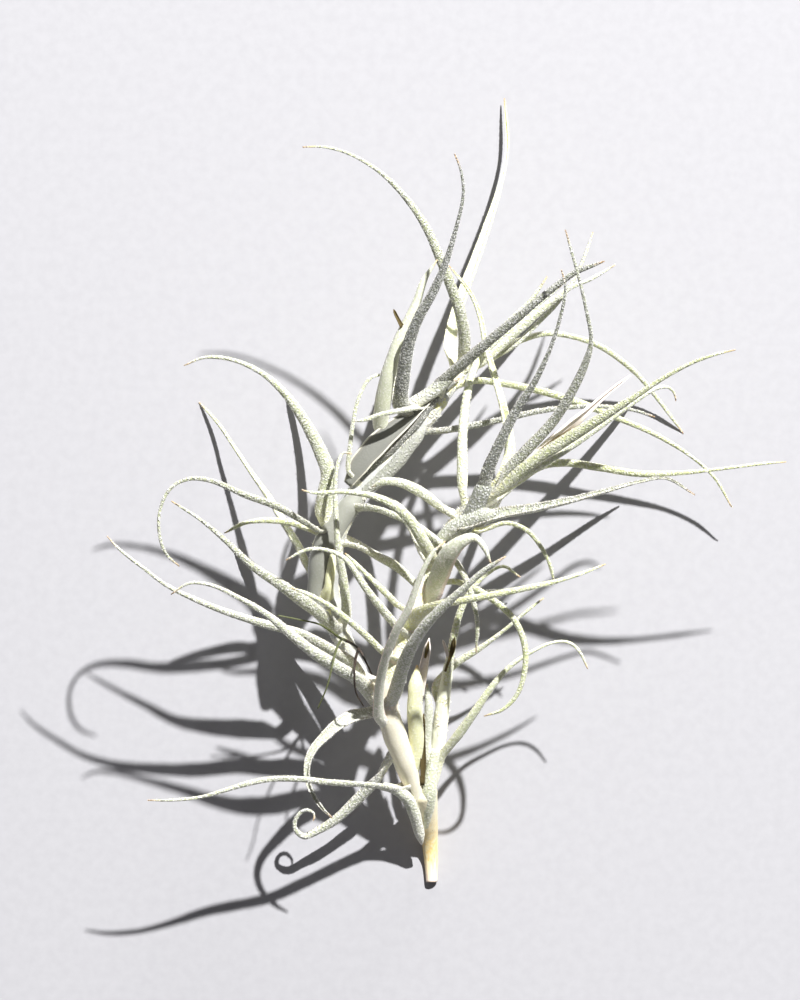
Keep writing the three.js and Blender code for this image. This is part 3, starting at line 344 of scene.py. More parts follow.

# Points [x, y, z, width] in millimetres, from the stem to the tip of each leaf.
MAIN_LEAVES = {
    "long_low": [
        [-15.75, -51.75, 31, 4], [-20.25, -47.5, 31.5, 4], [-24.75, -42.75, 35, 3.8], [-29, -40, 38.5, 3.4],
        [-36.5, -35.9, 43, 2.8], [-45.15, -33.55, 47, 2.3], [-55.15, -30.35, 50.5, 1.8],
        [-62.75, -27.25, 53, 1.4], [-69.75, -23.75, 54.5, 1.1], [-75.75, -19.25, 55.5, 0.9],
        [-81.5, -14.75, 56, 0.8], [-84.5, -11.5, 56, 0.8]],
    "broad_low": [
        [-15, -55.5, 29, 4], [-18, -53.5, 32, 4.1], [-21.7, -48.05, 38, 4], [-26.8, -44.75, 44, 3.6],
        [-32.95, -40.9, 49, 3.1], [-39, -36, 53, 2.5], [-44.5, -31.25, 56, 1.8], [-51.5, -27, 58.5, 1.3],
        [-58.5, -23.75, 60, 1], [-64, -23.25, 60, 0.8], [-68.5, -26, 58.5, 0.8]],
    "hanging_low": [
        [-14.5, -56.5, 28, 2.8], [-17.75, -56.75, 28.5, 3.3], [-22.75, -56.75, 30.5, 3.5],
        [-26.5, -58.5, 32, 3.2], [-30.25, -61.75, 33, 2.6], [-33.5, -65.5, 33.5, 2.1],
        [-34.75, -69.5, 33.5, 1.7], [-34, -74.5, 32.5, 1.3], [-31, -79.5, 31, 0.9], [-28.5, -82, 30, 0.8]],
    "curled_low": [
        [-11.5, -66.75, 21, 3], [-13.25, -67.25, 20, 3.4], [-17.75, -73.25, 16, 3.4],
        [-21.5, -77.25, 13.5, 3], [-27.75, -83, 11, 2.5], [-32, -85.5, 10.5, 2.1], [-35.75, -87, 11, 1.7],
        [-38, -84.75, 12, 1.2], [-37.25, -81.75, 13, 0.9], [-35, -80.25, 14, 0.8], [-33, -81.25, 15, 0.8],
        [-33.25, -83, 15.5, 0.8]],
    "straight_low": [
        [-8, -76.3, 16, 2.8], [-11, -75.75, 19, 2.7], [-16.5, -74.25, 25, 2.5], [-24, -73.5, 32, 2.1],
        [-30.25, -73, 37, 1.9], [-36.5, -72.25, 40, 1.8], [-44, -72.25, 42, 1.6], [-50.25, -73.5, 43, 1.4],
        [-55.25, -75, 43, 1.1], [-61.5, -76.75, 42.5, 0.9], [-69, -77.5, 42, 0.8], [-74.5, -77.5, 41, 0.8]],
    "front_pink": [
        [-14.5, -61.25, 27, 3.2], [-16.5, -58, 32, 3.2], [-16.75, -52.5, 38, 2.8], [-16, -46.25, 45, 2.5],
        [-14.75, -41.25, 51, 2.3], [-12.25, -35, 58, 2.2], [-9.25, -29.5, 63, 2], [-7.25, -23.75, 67, 1.6],
        [-5.25, -19, 70, 1.3], [-3, -15.25, 72, 1], [-0.25, -12.75, 73, 0.8]],
    "front_silver": [
        [-13.75, -55.75, 30, 3.4], [-11.75, -48.5, 40, 3.7], [-10.25, -43.5, 47, 3.5],
        [-8.25, -39, 53, 3.2], [-5.25, -34.25, 59, 2.9], [-1, -29.5, 65, 2.4], [4.75, -24.25, 71, 1.8],
        [9.25, -20.25, 75, 1.4], [12.75, -17.75, 78, 1.1], [14.75, -16.5, 79, 0.8]],
    "mid_right": [
        [-9.25, -36, 39, 3], [-7.95, -33.2, 43, 3.8], [-5.5, -30.15, 47, 3.8], [-1.3, -28.55, 50.5, 3],
        [4.75, -27.45, 53.5, 2.2], [13.5, -25.75, 55, 1.8], [23.5, -23.75, 54, 1.4], [31, -21.75, 52, 1],
        [36, -20, 50.5, 0.8], [39.75, -18.5, 49, 0.8]],
    "short_left": [
        [-12, -44.5, 35.5, 2.2], [-13.5, -43, 39, 2.1], [-19, -37.5, 43.5, 1.8], [-24, -33, 47, 1.6],
        [-29, -29, 49.5, 1.3], [-35.5, -25.5, 51, 1], [-38.5, -24.5, 51, 0.8]],
    "hook_left": [
        [-9.75, -38.75, 37.5, 2.4], [-10.25, -37, 40, 2.4], [-15.25, -31, 46, 2.3],
        [-20.25, -24.5, 51, 1.9], [-25.25, -17.25, 54.5, 1.4], [-29, -15.25, 55.5, 1.1],
        [-34, -14.75, 55.5, 0.9], [-40, -17.5, 54, 0.8]],
    "inner_left": [
        [-8.25, -33, 39, 2], [-11, -30.5, 41.5, 2], [-13.5, -27.5, 44, 1.8], [-16.5, -24.5, 46, 1.6],
        [-20.25, -20.75, 47.5, 1.2], [-25.25, -15.75, 49, 0.8]],
    "bent_tip": [
        [-5, -28.5, 39.5, 4.2], [-3.5, -24.5, 44, 5], [-2, -20.5, 48.5, 5.2], [-0.5, -17.25, 53, 5.2],
        [1.5, -14.5, 57, 4.4], [4.25, -12.5, 59.5, 3.2], [7, -11.75, 60.5, 2], [9.25, -14, 60, 1.5],
        [11.2, -18.4, 58, 0.9]],
    "long_left": [
        [-4, -21, 42, 3.4], [-4.75, -15.45, 48, 3.6], [-6.5, -12.1, 51, 3.2], [-9.1, -7.85, 53.5, 2.8],
        [-12.75, -4.25, 55.5, 2.4], [-17.75, -1.75, 57, 1.8], [-25.25, -0.5, 58, 1.3],
        [-32.75, -0.75, 57.5, 0.9], [-36, 0, 57, 0.8]],
    "hanging_right": [
        [-6, -25.5, 40.5, 2], [-2.25, -23.75, 43.65, 2], [2.25, -23, 45, 2], [7.25, -24.75, 46, 2],
        [13, -28.5, 46.5, 1.9], [17, -32.5, 46, 1.7], [19.25, -37.5, 45, 1.6], [19.75, -43.25, 43.5, 1.5],
        [18, -50.5, 41, 1.2], [14.25, -54.75, 39, 0.9], [9.5, -56.5, 37, 0.8]],
    "yellow_sheath": [
        [-7.25, -74, 16.5, 3], [-7.25, -67.5, 21.5, 3.8], [-7.5, -61.25, 25, 4.2], [-7.9, -55.5, 28.3, 4],
        [-7.6, -49.5, 30.6, 3.9], [-7.2, -43.8, 32, 1.4]],
    "rose_up_left": [
        [4, -7, 47.5, 2.8], [3.75, 0, 50, 2.8], [3.75, 7.5, 50, 2.7], [4, 15, 48, 2.5],
        [5, 23.5, 44.5, 2.2], [6.5, 29.5, 42, 2], [10.5, 36.25, 40.5, 1.7], [16, 42.5, 41, 1.4],
        [21, 47.25, 42, 1], [25.25, 53.25, 43, 0.8]],
    "rose_up": [
        [10, -3.25, 50, 3], [13.5, 2, 53, 3.3], [15.5, 8.75, 53, 2.9], [15.25, 15, 51, 2.4],
        [13.75, 22, 48.5, 2], [11.5, 30, 45.5, 1.8], [9.75, 36.25, 44.3, 1.6], [8.5, 43, 43.5, 1.3],
        [6, 49.25, 43, 1], [0.75, 56, 42.5, 0.8]],
    "rose_silver": [
        [7, -5, 50, 3.2], [9.25, 0, 55, 3.4], [11, 5.5, 60, 3.3], [14, 12.3, 66, 2.8],
        [17.85, 20.2, 72, 2.4], [21.7, 26.1, 77, 1.8], [25.75, 34.8, 83, 1.1], [28.5, 43.75, 88, 0.9],
        [29.5, 50, 90, 0.8], [28.5, 54.5, 91, 0.8]],
    "rose_tall": [
        [10.25, -2.25, 51, 3], [15.5, 4.5, 56, 3.2], [21, 10.5, 60, 2.9], [26.5, 16.5, 64, 2.7],
        [31, 23.5, 70, 2.5], [34.75, 31.5, 76, 2], [36, 37, 80, 1.1], [34.75, 44.5, 84, 0.9],
        [32.75, 53, 87, 0.8], [29.5, 64.5, 88, 0.8]],
    "rose_broad_right": [
        [9.5, -4.5, 50, 3.6], [14.45, 0.5, 55, 3.7], [20.2, 5.65, 59, 3.5], [28.2, 11.15, 63, 3.3],
        [38.4, 17.6, 69, 2.6], [46, 22.5, 74, 1.7], [53.5, 27.5, 78, 1.2], [61, 31.5, 81, 0.9],
        [66.5, 33.5, 83, 0.8], [71.75, 34.75, 84, 0.8]],
    "rose_short_left": [
        [3.75, -9.25, 45, 2.6], [0.75, -6.25, 47.5, 2.6], [-2.75, -3.25, 49, 2.8], [-7, -0.25, 50, 2.8],
        [-11.5, 1.75, 50, 2.4], [-15.75, 2, 49, 1.8], [-18.5, 0.75, 48, 0.9]],
    "rose_far_right": [
        [8, -4, 50, 2.8], [17.25, 1.5, 49, 2.9], [23.5, 5.75, 49.5, 2.8], [29.75, 6.75, 50.5, 2.6],
        [38.5, 5.5, 52, 2.3], [48.5, 4, 53.5, 1.9], [58.5, 4.25, 54.5, 1.2], [68.5, 5.25, 55, 0.8],
        [78.5, 6.5, 55, 0.8], [84.75, 7, 54.5, 0.8]],
    "rose_hook": [
        [10.5, -3.25, 50.5, 2.2], [17.25, 2, 53, 2], [24.75, 6.5, 54.8, 1.8], [33.5, 12.25, 57, 1.6],
        [41.5, 18, 58, 1.4], [47.75, 22.5, 58, 1.2], [52.25, 25.25, 57.5, 1], [55.25, 25.6, 57, 0.9],
        [56.75, 24.25, 56, 0.8], [57.25, 22.25, 55, 0.8]],
    "rose_low_right": [
        [0, -13.75, 44, 3.3], [3, -10, 49.5, 3.5], [7.5, -7.75, 53, 3.2], [13.5, -6, 55, 3],
        [22.25, -4.5, 57, 2.3], [32.25, -2.25, 58, 1.6], [39.75, -0.25, 58, 1.2], [48.5, 2.1, 57, 0.9],
        [54.75, 2.9, 56, 0.8], [62, -1.25, 54, 0.8]],
    "rose_drooping": [
        [3, -10.5, 44.5, 1.7], [6.5, -11.75, 44, 1.7], [10.25, -9.75, 44.5, 1.6], [15.25, -8.25, 45, 1.5],
        [20, -10, 44.5, 1.3], [23.5, -14, 42.5, 1.1], [25.75, -18.25, 40, 0.9], [27, -23, 37, 0.8]],
    "back_heart": [
        [3, -9.5, 45, 3.2], [7, -9.2, 39, 3.4], [10.5, -6.5, 32.5, 3], [13.3, -1.5, 26, 2.6],
        [15, 4, 19.5, 2], [15.6, 9.5, 13, 1.4], [15.2, 14.5, 7.5, 0.9]],
    "back_broad_right": [
        [6.5, -5.5, 47, 3.2], [12, -2.5, 41, 3.4], [18.5, 3, 35, 3.4], [27, 9.5, 28, 3],
        [36.5, 16, 19, 2.4], [42.5, 20, 10.5, 1.8], [46.3, 22.6, 4, 1.3], [48, 23.8, 0, 1.1]],
    "back_low_right": [
        [3.5, -9.5, 44, 3], [8.5, -8, 37, 3.2], [15, -6, 31, 3], [23.5, -4.3, 24, 2.4],
        [32.5, -2.3, 17, 1.7], [40, -0.3, 11, 1.2], [46, 1.3, 7, 0.9]],
    "back_leftward": [
        [-4.5, -21, 39.5, 3], [-6, -15, 33, 3.2], [-8.8, -9, 26.5, 3], [-12.4, -4.3, 20, 2.4],
        [-17, -1.8, 13.5, 1.6], [-22.5, -0.7, 8, 1.1], [-27, -0.6, 4.5, 0.9]],
    "back_neck": [
        [-11.25, -41.25, 34, 3], [-9.6, -38.5, 28, 3.4], [-6.6, -33.6, 22, 3.2], [-1.6, -29.2, 17, 2.6],
        [4.5, -26.5, 12, 1.8], [11, -25.6, 7.5, 1.2], [17, -25, 4.5, 0.9]],
    "back_low_left": [
        [-14, -57.5, 26.5, 3], [-17.4, -54, 21.5, 3.4], [-21.5, -48.8, 17.5, 3.4], [-27.5, -43.4, 13.5, 3],
        [-34.5, -38.6, 9, 2.2], [-41, -34.9, 4.5, 1.5], [-46.5, -33, 1, 0.9]],
}
LEFT_LEAVES = {
    "arched_out": [
        [-30, -12.5, 36.5, 4], [-30.75, -8, 39.5, 4.5], [-29.75, -2, 42, 4.6], [-29, 4.25, 45, 4],
        [-31.5, 10.5, 48.5, 3.4], [-35.25, 17.5, 53, 2.8], [-40.25, 24.25, 57, 2], [-46, 29.25, 59.5, 1.4],
        [-53.5, 32.5, 61, 1], [-60.25, 33, 61, 0.8], [-65.25, 31, 60, 0.8]],
    "big_hook": [
        [-29.25, -12.75, 36, 2.1], [-32.5, -10, 41.5, 2.2], [-36.5, -7.5, 46.5, 2.1], [-42.75, -4, 52, 2.1],
        [-50.25, -1.25, 56, 1.8], [-58.5, 2.25, 59, 1.3], [-64, 2.75, 60, 1], [-68.5, 0.5, 60, 0.9],
        [-71.25, -5, 59, 0.8], [-71.25, -12, 57.5, 0.8], [-69.5, -16.25, 56, 0.8], [-66.5, -19, 54.5, 0.8]],
    "propping_left": [
        [-31.5, -25, 31, 2.2], [-34.5, -20, 29, 2.2], [-37, -14.5, 26.5, 2.1], [-40.5, -8.75, 22, 2],
        [-44, -2.75, 18, 1.8], [-49, 4.5, 12.5, 1.2], [-53.5, 11.25, 8, 1], [-57.25, 16.75, 4, 0.9],
        [-62, 22, 0, 0.8]],
    "small_left": [
        [-30, -14, 36, 2.2], [-33, -11, 38, 2.2], [-37, -8.75, 40, 2], [-43.5, -7.6, 43, 1.6],
        [-50.25, -8.25, 44.5, 1], [-55.25, -10.75, 44.5, 0.8]],
    "behind_main": [
        [-26.5, -14.5, 35, 2.6], [-21.5, -14.5, 35, 2.8], [-17.75, -16.25, 34.5, 2.8],
        [-12.75, -19, 33.5, 2.5], [-8.5, -22.75, 32.5, 1.8], [-5.5, -26.5, 31, 0.8]],
    "arched_over": [
        [-25.25, -7, 38, 2.5], [-21.25, -4.75, 42.5, 2.7], [-17, -4.9, 46, 2.5], [-11.5, -7, 48.5, 2.2],
        [-6.5, -9.5, 49.5, 2], [-1.5, -13.25, 50, 1.8], [1.75, -17, 50, 1.7], [4.75, -21.75, 50.5, 1.6],
        [6.75, -27.75, 48.5, 1.4], [7.75, -33, 46, 1.1], [7.5, -40.75, 42, 0.8]],
    "upright": [
        [-25.6, -37, 27.5, 2.8], [-25, -32.5, 32.5, 2.8], [-25.25, -27.5, 36.5, 2.5],
        [-26, -21.25, 41, 2.2], [-27, -15, 44.5, 1.9], [-27.5, -7.5, 47.5, 1.4], [-27.75, 0, 49.5, 1.1],
        [-27.25, 5.5, 50.5, 0.9], [-25.75, 9.25, 50.5, 0.8], [-23.5, 9, 50, 0.8]],
    "broad_out": [
        [-26, -36.6, 28, 3.6], [-28, -35.2, 33, 3.8], [-32, -31, 38, 3.8], [-36.5, -27.5, 42, 3.6],
        [-41.5, -23.75, 46, 2.9], [-48.5, -19, 50, 2], [-55.25, -12.5, 53, 1.4], [-61.5, -7.25, 55, 0.9],
        [-68.5, -2.75, 55.5, 0.8]],
    "top_right": [
        [-4.5, 20.5, 39, 4], [-1.8, 25.3, 44, 3.8], [3.1, 30.15, 50, 3.1], [9.35, 35.65, 57, 2.7],
        [16.85, 41.9, 64, 2.4], [24.45, 48.3, 70, 1.9], [32.05, 53.95, 75, 1.5], [37.25, 56, 78, 1.2],
        [39.25, 56.75, 79, 0.9]],
    "top_upright": [
        [-11, 16.25, 40, 3.8], [-11.25, 21.25, 48, 4.1], [-10.5, 27.5, 55, 3.7], [-9.05, 36.15, 63, 3.2],
        [-6.6, 42.8, 69, 2.7], [-3.05, 49.15, 74, 2.4], [0, 56.5, 79, 1.8], [2.5, 65, 84, 1.1],
        [4.25, 73.75, 88, 0.8], [3.5, 79.5, 90, 0.8], [2, 83.25, 91, 0.8]],
    "top_behind": [
        [0.25, 28, 35, 3.4], [0.75, 34.5, 33, 3.4], [2.25, 42, 29, 3.2], [4.75, 50, 25, 2.9],
        [8, 58.75, 20, 2.6], [11.25, 68.25, 14.5, 2], [14, 77.5, 9.5, 1.2], [15.5, 86.25, 5.5, 0.9],
        [14.75, 98.5, 2.5, 0.8]],
    "top_arched_left": [
        [2.5, 29, 36, 3], [4.25, 35.5, 42, 3.2], [3.5, 43, 48, 3], [1, 50.5, 53, 2.8], [-1.5, 57, 57, 2.6],
        [-5.25, 65.5, 61, 2.1], [-10.25, 72.75, 64, 1.6], [-16.5, 79, 66.5, 1.1], [-24, 83.5, 68, 0.8],
        [-30.25, 85.25, 68.5, 0.8], [-35.75, 85.25, 68.5, 0.8]],
    "long_behind_right": [
        [-2.25, 23, 36, 2.8], [1.5, 25.25, 36, 2.8], [7.25, 27.25, 34.5, 2.8], [14.75, 26.5, 32.5, 2.6],
        [23.5, 24.75, 30.5, 2.5], [33.5, 21.75, 28, 2], [43.5, 17.75, 25, 1.5], [52.25, 14, 22, 1.3],
        [61, 8.75, 18, 0.9], [67.25, 3.25, 15, 0.8], [71.75, -4.25, 11, 0.8]],
    "straight_right": [
        [-9, 13, 38, 2.8], [-4, 14.25, 38, 2.8], [3.5, 15.5, 37.5, 2.6], [13.5, 17.5, 37, 2],
        [23.5, 19.75, 36.5, 1.5], [32.25, 20.75, 36, 1.2], [41, 20.75, 35, 1], [47.75, 19.75, 34, 0.8],
        [52.25, 18.25, 33, 0.8]],
    "thin_left": [
        [-4.5, 20.25, 40, 1.5], [-7.75, 20.25, 47.5, 1.5], [-11.5, 19.75, 52, 1.4], [-16.5, 18.75, 53, 1.2],
        [-21, 17.25, 53, 0.9], [-23, 17.25, 52.5, 0.8]],
    "top_white": [
        [-15.5, 9.5, 38, 3.8], [-16.25, 14.5, 43, 4.2], [-15.5, 21.25, 49, 4.4], [-14.2, 28.4, 54, 4],
        [-11.7, 36.7, 58, 3.2], [-7.6, 45.7, 61, 2.5], [-5.35, 52.4, 63, 1.6], [-2.25, 57.25, 64, 0.8]],
    "propping_right": [
        [2.25, 28.75, 34, 2.2], [9.75, 33.25, 33.5, 2.3], [16.5, 36.5, 30.5, 2.2], [24.75, 39.1, 27, 1.8],
        [32.25, 38.25, 23, 1.4], [38.5, 36, 19, 1.5], [43.5, 32.75, 15, 1.5], [48.5, 28.5, 10, 1.3],
        [53.5, 22.5, 5, 1], [59.75, 14.25, 0, 0.8]],
    "under_top_right": [
        [2.25, 28, 36, 2.6], [9.25, 31.75, 36.5, 2.7], [14.75, 36.75, 37, 2.7], [21, 42.5, 37.5, 2.5],
        [26, 46.75, 38.5, 1.8], [31, 50.5, 39, 1.2], [36, 52.6, 39, 0.9], [42.25, 56.25, 38.5, 0.8]],
    "slender_right": [
        [3.5, 29, 33.5, 1.7], [11, 32.5, 33.5, 1.7], [17.25, 36.25, 34, 1.6], [22.25, 41, 34, 1.4],
        [28, 47, 34, 1.2], [32.25, 53, 34.5, 1], [35.25, 60, 35, 0.8], [36.75, 64.5, 34.5, 0.8]],
    "thread_leaf": [
        [-22.5, -0.75, 39, 1.2], [-24.5, 4, 43, 1.3], [-24, 10, 46, 1.2], [-23.25, 16.25, 48, 1],
        [-21.75, 23, 49.5, 0.9], [-18.75, 28, 50, 0.8], [-14.5, 28.9, 50, 0.8]],
    "yellow_inner": [
        [-29.5, -29, 32, 2.4], [-29.25, -27.5, 35, 2.6], [-29, -23, 37, 2.8], [-28.5, -18.5, 38.5, 2.2],
        [-28, -14.5, 39.5, 1]],
    "grey_sheath": [
        [-22.5, -1.5, 38.5, 3], [-18.6, 6, 40.6, 5], [-13.2, 12, 41.4, 5.6], [-8, 17.2, 41.6, 5],
        [-3.8, 22.2, 41, 3.6], [-0.2, 25.5, 40, 2], [3.5, 28, 38.5, 1]],
    "back_left": [
        [-29.25, -11, 35, 3], [-30.2, -6, 30, 3.2], [-29.6, 0, 24, 3], [-29.4, 5.5, 18, 2.6],
        [-31.8, 11.5, 12, 2.1], [-35.5, 18, 6, 1.6], [-40.25, 24.25, 0, 1.1]],
    "back_low": [
        [-28.4, -31.5, 27, 3], [-32.2, -30.6, 22, 3.2], [-36.7, -27.4, 17, 2.8], [-41.8, -23.5, 11.5, 2.2],
        [-48, -19.2, 5, 1.4], [-53, -14.8, 0.6, 0.9]],
    "back_foot": [
        [-29.7, -15, 33, 3], [-30.3, -19, 26, 3.2], [-30.4, -24, 18, 2.8], [-29.8, -29, 10.5, 2],
        [-28.4, -33.2, 4.5, 1.2], [-27, -35.5, 1, 0.9]],
    "back_middle": [
        [-16.5, 6.5, 37.5, 3], [-14, 9.5, 31, 3.4], [-10.5, 13, 24, 3], [-7.5, 16.5, 16.5, 2.2],
        [-5, 20, 9, 1.4], [-3.2, 22.8, 3.5, 0.9]],
    "back_top": [
        [-5.25, 19.5, 36, 3], [-1, 25, 30, 3.4], [4, 30.2, 25, 3.4], [10.2, 35.6, 20, 3],
        [17.5, 41.8, 14.5, 2.2], [24.2, 47.6, 9.5, 1.4], [29.5, 51.8, 6, 0.9]],
    "back_upright": [
        [-9.5, 14.5, 37, 3], [-11.6, 20.5, 31, 3.4], [-11.4, 27.5, 25, 3.2], [-10, 35, 18.5, 2.6],
        [-7.6, 42, 12.5, 1.9], [-4.6, 48, 7.5, 1.2], [-2, 52, 4.5, 0.9]],
}
RIGHT_LEAVES = {
    "hooked": [
        [-0.5, -53, 23, 2.2], [0.75, -45, 28, 2.3], [1.75, -38.75, 31, 2], [3.5, -31, 34, 1.8],
        [6, -25.75, 36, 1.4], [9.75, -21.5, 37.5, 0.9], [14.25, -19.1, 38, 0.8], [18.5, -21.75, 37, 0.8]],
    "crossing": [
        [-1, -55.5, 20, 2.1], [-3, -51, 20, 2.2], [-1, -47, 20.5, 2.4], [3, -43.25, 22, 2.3],
        [8.5, -39.75, 24, 1.5], [14.75, -35, 26.5, 0.9], [19.75, -30.75, 28, 0.8], [24.5, -27, 29, 0.8]],
    "arched_right": [
        [-1.5, -70.5, 16, 2.6], [0, -66, 19, 2.8], [3.5, -61.25, 23, 2.7], [7.5, -55.5, 27, 2.2],
        [11.5, -49.5, 30, 1.7], [16, -44.25, 32, 1.3], [21.5, -40.5, 33, 1], [26.5, -38.25, 33, 0.8],
        [30.5, -38.1, 32.5, 0.8], [33.25, -40.25, 31.5, 0.8], [35.5, -44.75, 30, 0.8]],
    "pale_sheath": [
        [-4.5, -73.8, 16, 2.4], [-4.75, -68.75, 18.5, 2.5], [-4.75, -62.5, 21, 2.5], [-4.25, -55, 24, 2.3],
        [-4.75, -48.5, 26, 0.9]],
}
# Leaves that have turned their channel away from the shoot's axis, with the way that it faces.
CHANNEL_FACES = {
    "bent_tip": (0.6, -0.2, -1.0),
    "hanging_low": (0.0, 0.5, 1.0),
    "rose_low_right": (0.2, 0.6, 0.8),
    "rose_up_left": (0.6, 0.0, -1.0),
    "upright": (0.6, 0.0, -1.0),
    "arched_out": (-0.6, -0.2, -1.0),
    "grey_sheath": (-0.6, 0.6, 0.5),
}

# Leaves that stand in front of their stem, with no sheath round it.
FREE_LEAVES = {"bent_tip"}

# Young tissue is pale this far up from a leaf's root, in mm. These leaves are still pale yellow far past
# it, by the share of the usual change that is missing.
YOUNG_FROM = -2
YOUNG_TO = 14
# For mid_right the longer pale stretch is partly painted light, brightening a base that lies in shade.
YOUNG_LENGTH = {"yellow_sheath": 0.8, "yellow_inner": 0.8, "mid_right": 0.6}

# How each leaf differs from the plain grey-green: silver is grey skin under coarse scales, darkened
# further as painted shade on leaves that lie in shade, green is young yellow-green tissue, pink is the flush
# along the margins, smooth is skin with few scales and dull is a bare grey face inside bright margins, its
# grey partly painted shade. All from 0 to 1.
PLAIN_LEAF = {"silver_and_shade": 0.3, "green": 0.2, "pink": 0.15, "smooth": 0.0, "dull_and_shade": 0.0}
TINTS = {
    "front_pink": {"pink": 1.0, "silver_and_shade": 0.2, "green": 0.0, "smooth": 0.7},
    "bent_tip": {"pink": 0.9, "silver_and_shade": 0.35, "green": 0.2, "smooth": 0.6},
    "front_silver": {"silver_and_shade": 0.34, "green": 0.0},
    "rose_silver": {"silver_and_shade": 0.8},
    "rose_low_right": {"silver_and_shade": 0.65},
    "top_upright": {"silver_and_shade": 0.85},
    "top_right": {"silver_and_shade": 0.75},
    "rose_tall": {"silver_and_shade": 0.7, "green": 0.3},
    "rose_broad_right": {"green": 0.8, "silver_and_shade": 0.4},
    "rose_far_right": {"green": 0.9},
    "rose_up": {"green": 0.8},
    "rose_up_left": {"green": 0.5},
    "long_behind_right": {"green": 0.9},
    "straight_right": {"silver_and_shade": 0.7},
    "top_arched_left": {"silver_and_shade": 0.5, "green": 0.4},
    "mid_right": {"green": 0.8},
    "hanging_right": {"green": 0.8},
    "propping_left": {"green": 0.6},
    "propping_right": {"green": 0.6},
    "top_behind": {"green": 0.9, "smooth": 0.6},
    "yellow_sheath": {"green": 1.0, "pink": 0.5, "smooth": 0.9},
    "yellow_inner": {"green": 1.0, "smooth": 1.0},
    "small_left": {"green": 0.8},
    "short_left": {"green": 0.6},
    "inner_left": {"green": 0.6},
    "long_left": {"green": 0.5},
    "broad_out": {"silver_and_shade": 0.5},
    "arched_out": {"silver_and_shade": 0.4, "green": 0.4},
    "big_hook": {"silver_and_shade": 0.5, "green": 0.3},
    "grey_sheath": {"silver_and_shade": 0.6, "smooth": 0.7, "dull_and_shade": 0.9},
    "top_white": {"silver_and_shade": 0.2, "smooth": 0.9},
    "hooked": {"green": 0.6, "pink": 0.3},
    "crossing": {"green": 0.5, "pink": 0.3},
    "arched_right": {"green": 0.6, "smooth": 0.5},
    "pale_sheath": {"silver_and_shade": 0.5, "smooth": 0.8},
    "straight_low": {"green": 0.1},
    "long_low": {"green": 0.05, "pink": 0.3},
    "broad_low": {"green": 0.05, "pink": 0.3},
    "hanging_low": {"green": 0.0, "silver_and_shade": 0.35, "smooth": 0.3, "dull_and_shade": 0.3},
    "curled_low": {"green": 0.0, "silver_and_shade": 0.35},
    "rose_drooping": {"green": 0.8},
}


def smooth_step(x):
    x = np.clip(x, 0, 1)
    return x * x * (3 - 2 * x)


def gutter(centres, sides, across, radius, half, thickness):
    """Closed crescent sections round given centres, each with its outside first and its inside after."""
    turn = np.linspace(-1, 1, SECTION_POINTS)[None, :]
    angle = np.concatenate([turn, -turn], 1) * half[:, None]
    depth = thickness[:, None] * (1 - MARGIN_LOSS * turn**2)
    reach = np.concatenate([np.broadcast_to(radius[:, None], depth.shape), radius[:, None] - depth], 1)
    rings = centres[:, None] + (reach * np.sin(angle))[..., None] * across[:, None]
    rings = rings - (reach * np.cos(angle))[..., None] * sides[:, None]
    edge = np.concatenate([np.abs(turn), np.abs(turn)], 1) * np.ones_like(reach)
    return rings, edge


def blade_shape(widths, run, draw, openness=1.0):
    """Radius, half angle and thickness of the rolled gutter at each place along a blade."""
    share = run / run[-1]
    widths = widths * (1 - TIP_LOSS * np.clip((share - TIP_FROM) / (1 - TIP_FROM), 0, 1) ** 1.5)
    wave = draw.uniform(0, 2 * math.pi, 3)
    long_wave = LONG_WAVE[0] * np.sin(run / LONG_WAVE[1] + wave[0])
    short_wave = SHORT_WAVE[0] * np.sin(run / SHORT_WAVE[1] + wave[1])
    widths = widths * (1 + long_wave + short_wave)
    half = np.radians(np.interp(share, ROLL_AT, ROLL_HALF)) * openness
    half = half * (1 + ROLL_WAVE[0] * np.sin(run / ROLL_WAVE[1] + wave[2]))
    radius = widths / 2 / np.sin(np.minimum(half, math.pi / 2))
    return radius, half, np.minimum(THICKNESS_SHARE * widths + THINNEST, THICKEST)


def as_wide_as_seen(rings, centres, widths):
    """Rings scaled about their centres so that each looks as wide from the front as the route says."""
    over = unit(np.cross(np.gradient(centres, axis=0), VIEWER))
    reach = np.einsum("rpk,rk->rp", rings - centres[:, None], over)
    seen = reach.max(1) - reach.min(1)
    factor = np.clip(SKIN_SHARE * widths / seen, NARROWEST, WIDEST)
    beside = np.pad(factor, EVENED_OVER // 2, mode="edge")
    factor = np.convolve(beside, np.ones(EVENED_OVER) / EVENED_OVER, mode="valid")
    return centres[:, None] + (rings - centres[:, None]) * factor[:, None, None]


def lift_of(radius, half):
    """How far a gutter's centre stands off its route, which runs midway between its keel and its margins."""
    return radius * (1 + np.cos(half)) / 2


def blade(points, facing, draw, openness=1.0):
    """Rings of a rolled leaf that stands alone, with distances run and each point's nearness to a margin."""
    places, widths, run = smooth_route(points, RING_SPACING)
    _, sides, across = axes_along(places, np.array(facing, float))
    radius, half, thickness = blade_shape(widths, run, draw, openness)
    centres = places + sides * lift_of(radius, half)[:, None]
    rings, edge = gutter(centres, sides, across, radius, half, thickness)
    return as_wide_as_seen(rings, places, widths), run, edge


